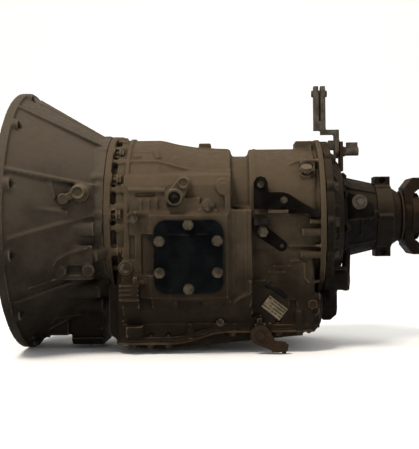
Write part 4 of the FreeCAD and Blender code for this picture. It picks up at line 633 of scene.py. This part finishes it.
# Raised lines on the near side of the rear drum.
drum_ridges = (
    ([(433, -114), (456, -114)], 2.4, 1.0),
    ([(461, -99), (492, -99)], 2.4, 1.0),
    ([(470, -88), (502, -88)], 2.4, 1.0),
    ([(500, -80), (517, -78)], 2.4, 1.0),
    ([(527, -82), (527, -110), (534, -118), (556, -118)], 3.0, 1.5),
    ([(500, -52), (556, -52)], 2.5, 0.5),
    ([(503, 96), (520, 103), (556, 103)], 3.0, 0.5),
    ([(440, 6), (462, 8)], 2.2, 1.0),
)
# Pockets cut into the drum: inside the framed corner, behind the label and beside the bent pipe.
drum_pockets = (
    ((532, 552), (-150, -119), (-113, -86)),
    ((448, 496), (-150, -121), (-190, -138)),
    ((500, 512), (-150, -116), (-166, -150)),
)


def case_rear(clay, hollows):
    """The rear drum with its ribs, hoops, arch and lower corner."""
    ridges(clay, drum_ridges)
    clay.bar(skin(541, 66, -10), skin(541, 2, -10), 16)
    clay.slab((462, 498), (-146, -120), (7, 13))
    clay.bar((516, -112, -145), (556, -112, -145), 7)
    arch_x, arch_z, arch_radius = 446, -196, 18
    turns = [math.radians(angle) for angle in range(0, 181, 20)]
    clay.path([Vector((arch_x + arch_radius * math.cos(turn), -124, arch_z + arch_radius * math.sin(turn)))
               for turn in turns], 3.6)
    clay.path([(530, -118, -207), (545, -112, -200), (553, -100, -190), (556, -90, -172)], 6)
    clay.beam((528, 556), ((-112, -150), (-112, -178), (-96, -204), (-70, -204), (-70, -150)))
    stud(clay, 545, -170, 11, 5)
    hollows.bar((545, -160, -170), (545, -116, -170), 5.5)
    for x in (440, 548):
        hoop_line(clay, [(x, 60), (x, 20), (x, -60)], 2.2)
    for x, y, z in drum_pockets:
        hollows.slab(x, y, z)


# The far side isn't in the photograph, so it has plain ribs and bosses. Each boss is its x, z.
back_ridges = (
    ([(209, 103), (263, 103), (321, 87), (392, 83)], 3.4, 0.5),
    ([(214, 40), (300, 38), (390, 30)], 3.4, 1.0),
    ([(214, -60), (300, -60), (428, -52)], 3.4, 1.0),
    ([(232, -183), (300, -176), (350, -171), (412, -150)], 4.5, 1.0),
    ([(250, 70), (250, -160)], 3.0, 1.0),
    ([(305, 70), (305, -160)], 3.0, 1.0),
    ([(360, 70), (360, -160)], 3.0, 1.0),
    ([(440, -20), (552, -20)], 2.8, 0.8),
    ([(440, -80), (552, -80)], 2.8, 0.8),
    ([(470, 60), (470, -130)], 2.8, 0.8),
)
back_studs = ((232, 12), (278, -28), (332, 8), (332, -110), (386, -20), (278, -120))


def case_back(clay):
    """The far side and the top."""
    ridges(clay, back_ridges, FAR)
    for x, z in back_studs:
        stud(clay, x, z, 11, 5, FAR)
    for angle in (-30, -12, 12):
        hoop_line(clay, [(214, angle), (392, angle)], 2.6)
    for angle in (-40, -15, 15):
        hoop_line(clay, [(432, angle), (554, angle)], 2.4)
    for x, _ in column_tops:
        clay.bar((x, column_y, -212), (x, column_y, -178), column_radius)


def case_casting():
    """The main case, from the joint behind the bell to the rear drum."""
    clay, hollows = Clay().node("main_case"), Clay()
    case_front(clay, hollows)
    case_walls(clay, hollows)
    case_side(clay, hollows)
    case_rear(clay, hollows)
    case_back(clay)
    return melted("case_casting", clay, "casing", ["main_case"], 1.6, 2, hollows)


def rear_casting():
    """The rear cover with its bolt bosses, spokes and cut lower corners."""
    boss_angles = (40, 68, 94, 119, -12, -40, -68, -94, -119, -143)
    spoke_angles = (20, 55, 82, 106, -26, -55, -82, -106, -130, 165, -165)
    clay, hollows = Clay().node("rear_cover"), Clay()
    clay.plate((-12, 12), ((580, 126), (580, 72), (605, 72), (605, 80)))
    clay.slab((580, 606), (-104, -76), (-98, -92))
    clay.bar((580, -74, -116), (608, -74, -116), 21)
    clay.bar((580, -100, -60), (580, -60, -160), 10)
    for angle in boss_angles:
        clay.post((568, 580), angle, 139, 12.5)
    for angle in spoke_angles:
        arm = outward(angle)
        clay.bar(arm * 96 + X_AXIS * 598, arm * 138 + X_AXIS * 578, 4.5, 3.5)
    for side in (NEAR, FAR):
        hollows.beam((560, 610), ((75, -200), (75, -168), (40, -200)), side)
    hollows.plate((-90, 90), ((600, -200), (600, -176), (578, -200)))
    return melted("rear_casting", clay, "casing", ["rear_cover"], 1.5, 2, hollows)


def extension_casting():
    """The extension housing with its ribs, bolt bosses and the shallow recess round the output sensor."""
    clay, hollows = Clay().node("extension_housing"), Clay()
    for angle in (45, 135, -45, -135):
        hoop_line(clay, [(608, angle), (670, angle)], 3.0, 0.5)
    for angle in range(15, 375, 45):
        clay.bar(around(606, angle), around(614, angle), 8)
    hoop_line(clay, [(640, 60), (640, 120)], 2.5, 0.5)
    for places in ([(641, -2), (657, -19)], [(658, -4), (642, -18)]):
        ridge(clay, places, 1.7, 0.8)
    hollows.plate((-100, -60), ((611, -6), (664, -2), (664, 24), (640, 48), (613, 52)))
    return melted("extension_casting", clay, "casing", ["extension_housing"], 1.5, 2, hollows)


def ring_casting():
    """The mount ring with small ribs and the bushes in its two lugs."""
    clay = Clay().node("mount_ring")
    for angle in range(30, 390, 60):
        hoop_line(clay, [(674, angle), (700, angle)], 3.5)
    for end in (-1, 1):
        clay.bar((687, -13, 69 * end), (687, 13, 69 * end), 7)
    return melted("ring_casting", clay, "casing", ["mount_ring"], 1.4, 2)


def yoke_forging():
    """The output yoke with thicker ears and the disc between them, which holds the nut."""
    clay, hollows = Clay().node("output_yoke"), Clay()
    for end in (-1, 1):
        clay.hull([(x, y, z * end) for x, y, z in (
            (740, -24, 52), (740, 24, 52), (782, -22, 54), (782, 22, 54),
            (742, -20, 72), (742, 20, 72), (776, -18, 72.4), (776, 18, 72.4))])
    clay.bar((742, 0, 0), (757, 0, 0), 47, 45)
    hollows.bar((744.5, 0, 0), (775, 0, 0), 28.5)
    return melted("yoke_forging", clay, "output", ["output_yoke"], 1.3, 3, hollows)


def cover_plate():
    """The power take-off cover with soft edges."""
    return melted("cover_plate", Clay().node("pto_cover"), "casing", ["pto_cover"], 1.1, 2)


def lever_plate():
    """The selector lever: a thick arm between a hub and a smaller end with a hole."""
    hub, tip = (451.6, -26.2), (484.9, -51.0)
    back, front, hub_front = -153.2, -160, -162.5
    clay, hollows = Clay(), Clay()
    clay.hull(circle(hub, 12.2, back, 20) + circle(hub, 12.2, front, 20)
              + circle(tip, 10.0, back, 20) + circle(tip, 10.0, front, 20))
    clay.bar((hub[0], back, hub[1]), (hub[0], hub_front, hub[1]), 10.5, 9.5)
    hollows.bar((tip[0], -140, tip[1]), (tip[0], -170, tip[1]), 3.6)
    return melted("lever_plate", clay, "selector", ["selector_lever"], 0.8, 2, hollows)


def turbine_sensor():
    """A slanted sensor head with a raised rim and a screw ear above it."""
    clay, hollows = Clay(), Clay()
    low, high = Vector((297, -158, 36)), Vector((313, -158, 61))
    out = Vector((0, -1, 0))
    clay.bar(low, low + out * 12, 15.5, 14.5)
    clay.bar(high, high + out * 12, 11.5, 10.5)
    web = []
    for spot, radius in ((low, 15), (high, 11)):
        for depth in (0, 9):
            web += circle((spot.x, spot.z), radius, spot.y - depth, 16)
    clay.hull(web)
    hollows.bar(low + out * 7, low + out * 30, 10.5)
    hollows.bar(high + out * 10.5, high + out * 30, 7)
    clay.bar(low + Vector((2, 4, -2)), low + Vector((2, -9.5, -2)), 9.4)
    clay.bar(high + out * 6, high + out * 13, 5)
    return melted("turbine_sensor", clay, "casing", ["turbine_speed_sensor"], 0.8, 1, hollows)


def dark_fittings():
    """The dark connector under the turbine sensor and the bent drain pipe beside the label."""
    clay = Clay()
    clay.bar((297, -166, 34), (299, -172, 30), 8.5, 7.5)
    clay.slab((284, 301), (-168, -150), (20, 29))
    clay.path([(462, -139, -122), (474, -142, -128), (484, -142, -136), (493, -138, -143)], 5.5)
    clay.bar((458, -136, -119), (464, -139, -122), 7.5)
    return melted("dark_fittings", clay, "casing", [], 0.9, 2)


def input_sensor():
    """The dusty sensor on the bell: a round head, a side arm and a smaller plug beside it."""
    clay, hollows = Clay(), Clay()
    head, plug = Vector((133, -152, 46)), Vector((107, -152, 35))
    out = Vector((0, -1, 0))
    clay.bar(head, head + out * 27, 15)
    clay.bar(head + out * 26, head + out * 45.8, 12.5, 11.5)
    clay.bar(head + out * 34, head + out * 39, 14)
    clay.bar(plug + out * 18, plug + out * 45, 8.5, 9.5)
    arm = []
    for spot in (head, plug):
        arm += [spot + out * depth + Vector((0, 0, up)) for depth in (36, 44) for up in (-6.5, 6.5)]
    clay.hull(arm)
    hollows.bar(head + out * 43.5, head + out * 60, 8.5)
    return melted("input_sensor", clay, "casing", ["input_speed_sensor"], 0.9, 2, hollows)


def brake_arm():
    """The double brake lever with the web between its plates and a rounded top."""
    middle_y = -30
    top_corner = ((14, 256), (14, 240), (5, 256))
    clay, hollows = Clay().node("brake_lever"), Clay()
    clay.slab((562, 570), (-37, -24), (166, 238))
    clay.bar((551, middle_y, 236), (581, middle_y, 236), 6.5)
    clay.slab((582, 604), (-37, -23), (128, 146))
    clay.bar((603, middle_y, 125), (614, middle_y, 125), 10)
    for side in (-1, 1):
        hollows.beam((545, 590), [(middle_y + y * side, z) for y, z in top_corner])
    return melted("brake_arm", clay, "brake", ["brake_lever"], 1.0, 2, hollows)


# How far the label leans from level, in degrees. Its print leans with it.
label_tilt = -38.5


def label_plate():
    """The foil label on the flat wall above the pan rail, a little lower than the CAD one."""
    middle_x, middle_z, half_length, half_height = 472, -164, 20.5, 13
    lean = math.radians(label_tilt)
    corners = []
    for along, up in ((-half_length, -half_height), (half_length, -half_height),
                      (half_length, half_height), (-half_length, half_height)):
        x = middle_x + along * math.cos(lean) - up * math.sin(lean)
        z = middle_z + along * math.sin(lean) + up * math.cos(lean)
        corners += [(x, y, z) for y in (-120, -122.6)]
    clay = Clay()
    clay.hull(corners)
    piece = clay.object("label_plate")
    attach(piece, "casing")
    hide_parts("data_label")
    return piece


bell = bell_casting()
case = case_casting()
rear = rear_casting()
extension = extension_casting()
ring = ring_casting()
yoke = yoke_forging()
cover = cover_plate()
lever = lever_plate()
turbine_head = turbine_sensor()
fittings = dark_fittings()
input_head = input_sensor()
brake = brake_arm()
label = label_plate()


# ---------------------------------------------------------------------------------------------- materials

# The castings, from the dusty grey-brown bell to the oily black extension.
# The last colour of each casting is painted shade, laid on its lower part and in its corners.
bell_cast = cast_look(
    "bell_casting",
    dust=(0.056, 0.044, 0.031), metal=(0.040, 0.0325, 0.0235), shade_colour=(0.0085, 0.0062, 0.0042))
upper_cast = cast_look(
    "dusty_casting",
    dust=(0.060, 0.0425, 0.0255), metal=(0.058, 0.0435, 0.028), shade_colour=(0.0095, 0.0066, 0.0038))
dark_cast = cast_look(
    "dark_casting",
    dust=(0.024, 0.017, 0.010), metal=(0.006, 0.0048, 0.0034), shade_colour=(0.0035, 0.0026, 0.0016),
    unshaded_above=0.03)
black_cast = cast_look(
    "black_casting",
    dust=(0.016, 0.0115, 0.007), metal=(0.0028, 0.0024, 0.002), shade_colour=(0.0018, 0.0014, 0.001),
    unshaded_above=0.03)
yoke_cast = cast_look(
    "yoke_steel",
    dust=(0.024, 0.0145, 0.0075), metal=(0.010, 0.0062, 0.0036), shade_colour=(0.0035, 0.0024, 0.0016),
    unshaded_above=0.03, shaded_below=-0.07)
pan_look = cast_look(
    "pan_steel",
    dust=(0.05, 0.032, 0.017), metal=(0.028, 0.0185, 0.0105), shade_colour=(0.0095, 0.0063, 0.0036),
    unshaded_above=-0.19, shaded_below=-0.235)
dusty_sensor = cast_look(
    "dusty_sensor",
    dust=(0.085, 0.066, 0.042), metal=(0.034, 0.026, 0.017), shade_colour=(0.008, 0.0055, 0.0035),
    unshaded_above=0.0, shaded_below=-0.2)

# Paint, plastic, rubber and paper.
cover_paint = paint_look(
    "cover_paint", paint=(0.0010, 0.0013, 0.0017), bare=(0.06, 0.056, 0.048), dust=(0.006, 0.0056, 0.005),
    scratch=0.3, rough=0.5, shine=0.02)
bracket_paint = paint_look(
    "bracket_paint", paint=(0.0018, 0.0014, 0.0010), bare=(0.03, 0.022, 0.015), dust=(0.012, 0.0085, 0.0055),
    scratch=0.4, rough=0.5, shine=0.02)
plastic = paint_look(
    "old_plastic", paint=(0.003, 0.0026, 0.0022), bare=(0.02, 0.017, 0.014), dust=(0.02, 0.015, 0.0095),
    scratch=0.1, rough=0.5, shine=0.03)
rubber = paint_look(
    "seal_rubber", paint=(0.005, 0.005, 0.005), bare=(0.02, 0.02, 0.02), dust=(0.03, 0.024, 0.018),
    scratch=0.1, rough=0.6)
gasket = paint_look(
    "gasket_paper", paint=(0.006, 0.005, 0.004), bare=(0.03, 0.026, 0.02), dust=(0.03, 0.024, 0.018),
    scratch=0.2, rough=0.7)

# Bolts, machined parts and bare metal.
# The second colour of each is dirt in patches and painted shade in corners.
zinc = metal_look("zinc_bolts", (0.07, 0.058, 0.040), (0.012, 0.009, 0.006), dirt_and_shade_strength=0.8, rough=0.45)
grimy_bolt = metal_look("grimy_bolts", (0.036, 0.028, 0.019), (0.012, 0.009, 0.006), dirt_and_shade_strength=0.7, rough=0.5)
bright = metal_look("bright_bolts", (0.26, 0.245, 0.21), (0.05, 0.04, 0.028), dirt_and_shade_strength=0.35, rough=0.35)
machined = metal_look("machined_steel", (0.22, 0.21, 0.19), (0.06, 0.046, 0.033), dirt_and_shade_strength=0.35, rough=0.3)
aluminium = metal_look("clean_aluminium", (0.45, 0.45, 0.44), (0.10, 0.085, 0.065), dirt_and_shade_strength=0.3, rough=0.4)
iron = metal_look("iron", (0.12, 0.112, 0.10), (0.04, 0.028, 0.02), dirt_and_shade_strength=0.5, rough=0.5)
converter_steel = metal_look(
    "converter_steel", (0.050, 0.046, 0.042), (0.03, 0.021, 0.014),
    dirt_and_shade_strength=0.5, rough=0.45, grain_mm=3.0, depth=0.05)
worn = metal_look(
    "worn_steel", (0.058, 0.045, 0.031), (0.012, 0.008, 0.005),
    dirt_and_shade_strength=0.75, rough=0.6, grain_mm=1.6, depth=0.3, metallic=0.3)
# The deep colour is deep rust in patches and painted shade in corners.
rust = rust_look(
    "rusty_steel", steel=(0.015, 0.010, 0.006), rust=(0.026, 0.0145, 0.0075), deep_rust_and_shade=(0.006, 0.0038, 0.0024))


def label_look(name, paper, ink, row_mm, tilt):
    """A worn foil label with rows of dashes in place of any writing."""
    look = Look(name)
    turn = look.tree.nodes.new("ShaderNodeMapping")
    turn.inputs["Rotation"].default_value = (0, math.radians(tilt), 0)
    look.link(look.place, turn.inputs["Vector"])
    look.place = turn.outputs["Vector"]
    across_rows = look.split(look.place, "Z")
    wave = look.maths("SINE", look.maths("DIVIDE", across_rows, row_mm * MM / (2 * math.pi)))
    words = look.between(look.noise(7, 2, 0.5, stretch=(1, 1, 0.3)), 0.42, 0.46)
    rows = look.maths("MULTIPLY", look.between(wave, -0.1, 0.15), words)
    cloud = look.noise(9, 4, 0.6)
    base = look.mix(look.between(cloud, 0.35, 0.68), paper, shaded(paper, 0.55))
    base = look.mix(look.maths("MULTIPLY", rows, 0.9), base, ink)
    look.bump(cloud, 0.1, 0.4)
    return look.finish(base, look.between(cloud, 0.3, 0.7, 0.4, 0.65), 0.0, 0.15)


foil = label_look(
    "label_foil", paper=(0.15, 0.118, 0.072), ink=(0.02, 0.015, 0.01), row_mm=5.6, tilt=label_tilt)

# The material of each slot in the record, and of the single nodes that look different from their slot.
finishes = {
    "upper_casting": upper_cast, "dark_casting": dark_cast, "pan_steel": pan_look, "gasket": gasket,
    "black_paint": bracket_paint, "zinc_bolts": zinc, "bright_bolts": bright, "black_plastic": plastic,
    "label_foil": foil, "rusty_steel": rust, "worn_steel": worn, "yoke_steel": yoke_cast, "iron": iron,
    "clean_aluminium": aluminium, "seal_rubber": rubber, "machined_steel": machined,
    "converter_steel": converter_steel,
}
special = {
    "pto_cover": cover_paint, "housing_bolts": upper_cast, "bracket_bolts": zinc, "selector_shaft": zinc,
    "breather_cap": dusty_sensor, "yoke_nut": worn, "output_speed_sensor": worn, "rear_bolts": grimy_bolt,
    "oil_pan_bolts": grimy_bolt, "input_speed_sensor": dusty_sensor, "turbine_speed_sensor": dusty_sensor,
}


def dress(thing, material):
    """Gives a thing one material in place of any it has."""
    thing.data.materials.clear()
    thing.data.materials.append(material)


for part in frame["record"]["subparts"]:
    name, slot = part["node"], part["material_slot"]
    dress(nodes[name], special.get(name, finishes[slot]))

for piece, material, slot in (
        (bell, bell_cast, "upper_casting"), (case, upper_cast, "upper_casting"),
        (rear, dark_cast, "dark_casting"), (extension, black_cast, "dark_casting"),
        (ring, dark_cast, "dark_casting"), (yoke, yoke_cast, "yoke_steel"),
        (cover, cover_paint, "black_paint"), (lever, bracket_paint, "black_paint"),
        (turbine_head, dusty_sensor, "black_plastic"), (input_head, dusty_sensor, "black_plastic"),
        (fittings, plastic, "black_plastic"), (brake, worn, "worn_steel"), (label, foil, "label_foil")):
    dress(piece, material)

# How wide the rounded edges of the CAD nodes are, in millimetres.
soft_edges = {
    "oil_pan": 2.4, "oil_pan_gasket": 0.4, "cable_bracket": 0.8, "neutral_switch": 1.2,
    "brake_bracket": 0.9, "lower_bracket": 0.8, "breather_cap": 1.2, "output_speed_sensor": 1.0,
    "pto_cover_bolts": 0.5, "housing_bolts": 0.5, "oil_pan_bolts": 0.5, "rear_bolts": 0.5,
    "bracket_bolts": 0.4, "pipe_plugs": 0.5, "yoke_nut": 0.8, "converter_cover": 1.5,
}
for name, width in soft_edges.items():
    bevelled(name, width)


# ------------------------------------------------------------------------------------- floor, light, camera

def stage_floor():
    """A pale floor that curves up into a backdrop behind the object. Measures are in metres."""
    floor_z = cad_low.z - 0.001
    front_y, back_y, top_z, width = -5.0, 2.6, 5.0, 7.0
    bend, bend_steps = 1.2, 12
    profile = [(front_y, floor_z), (back_y - bend, floor_z)]
    for step in range(1, bend_steps + 1):
        angle = math.pi / 2 * step / bend_steps
        profile.append((back_y - bend + bend * math.sin(angle), floor_z + bend * (1 - math.cos(angle))))
    profile.append((back_y, top_z))
    mesh = bmesh.new()
    rows = [[mesh.verts.new((x, y, z)) for x in (-width, width)] for y, z in profile]
    for (a, b), (c, e) in zip(rows, rows[1:]):
        mesh.faces.new((a, b, e, c))
    data = bpy.data.meshes.new("floor")
    mesh.to_mesh(data)
    mesh.free()
    floor = bpy.data.objects.new("floor", data)
    bpy.context.scene.collection.objects.link(floor)
    for polygon in data.polygons:
        polygon.use_smooth = True
    look = Look("floor_paper")
    tone = look.mix(look.between(look.noise(600, 3), 0.3, 0.7), (0.86, 0.86, 0.86), (0.90, 0.90, 0.89))
    floor.data.materials.append(look.finish(tone, 0.9))


def soft_light(name, place, target, size, power, colour):
    """A round soft lamp that points at a target. Place and size are in metres, power in watts."""
    light = bpy.data.lights.new(name, "AREA")
    light.shape = "DISK"
    light.size = size
    light.energy = power
    light.color = colour
    thing = bpy.data.objects.new(name, light)
    thing.location = place
    thing.rotation_euler = (Vector(target) - Vector(place)).to_track_quat("-Z", "Y").to_euler()
    bpy.context.scene.collection.objects.link(thing)


def light_room():
    """A warm window high on the near side, a weak fill from the right, a lamp above and a white room."""
    middle = (cad_low + cad_high) / 2
    soft_light("window", (-0.55, -1.3, 2.3), middle, 0.9, 78, (1.0, 0.92, 0.82))
    soft_light("fill", (2.4, -2.2, 0.9), middle, 1.6, 9, (1.0, 0.95, 0.9))
    soft_light("top", (0.5, 0.6, 2.8), middle, 1.6, 34, (1.0, 0.96, 0.9))
    world = bpy.data.worlds.new("room")
    world.use_nodes = True
    back = world.node_tree.nodes["Background"]
    back.inputs["Color"].default_value = (1.0, 1.0, 1.0, 1)
    back.inputs["Strength"].default_value = 0.62
    bpy.context.scene.world = world


def camera():
    """The photograph's view: from the side, level with the shaft, rolled a little."""
    lens = bpy.data.cameras.new("camera")
    lens.lens = 66.5
    lens.sensor_width = 36
    lens.shift_x = -0.0635
    lens.clip_end = 50
    thing = bpy.data.objects.new("camera", lens)
    thing.location = (0.408, -1.62, -0.0125)
    level, roll = Matrix.Rotation(math.pi / 2, 4, "X"), Matrix.Rotation(math.radians(-0.66), 4, "Z")
    thing.rotation_euler = (level @ roll).to_euler()
    bpy.context.scene.collection.objects.link(thing)
    bpy.context.scene.camera = thing


stage_floor()
light_room()
camera()

view = bpy.context.scene.view_settings
view.view_transform = "Standard"
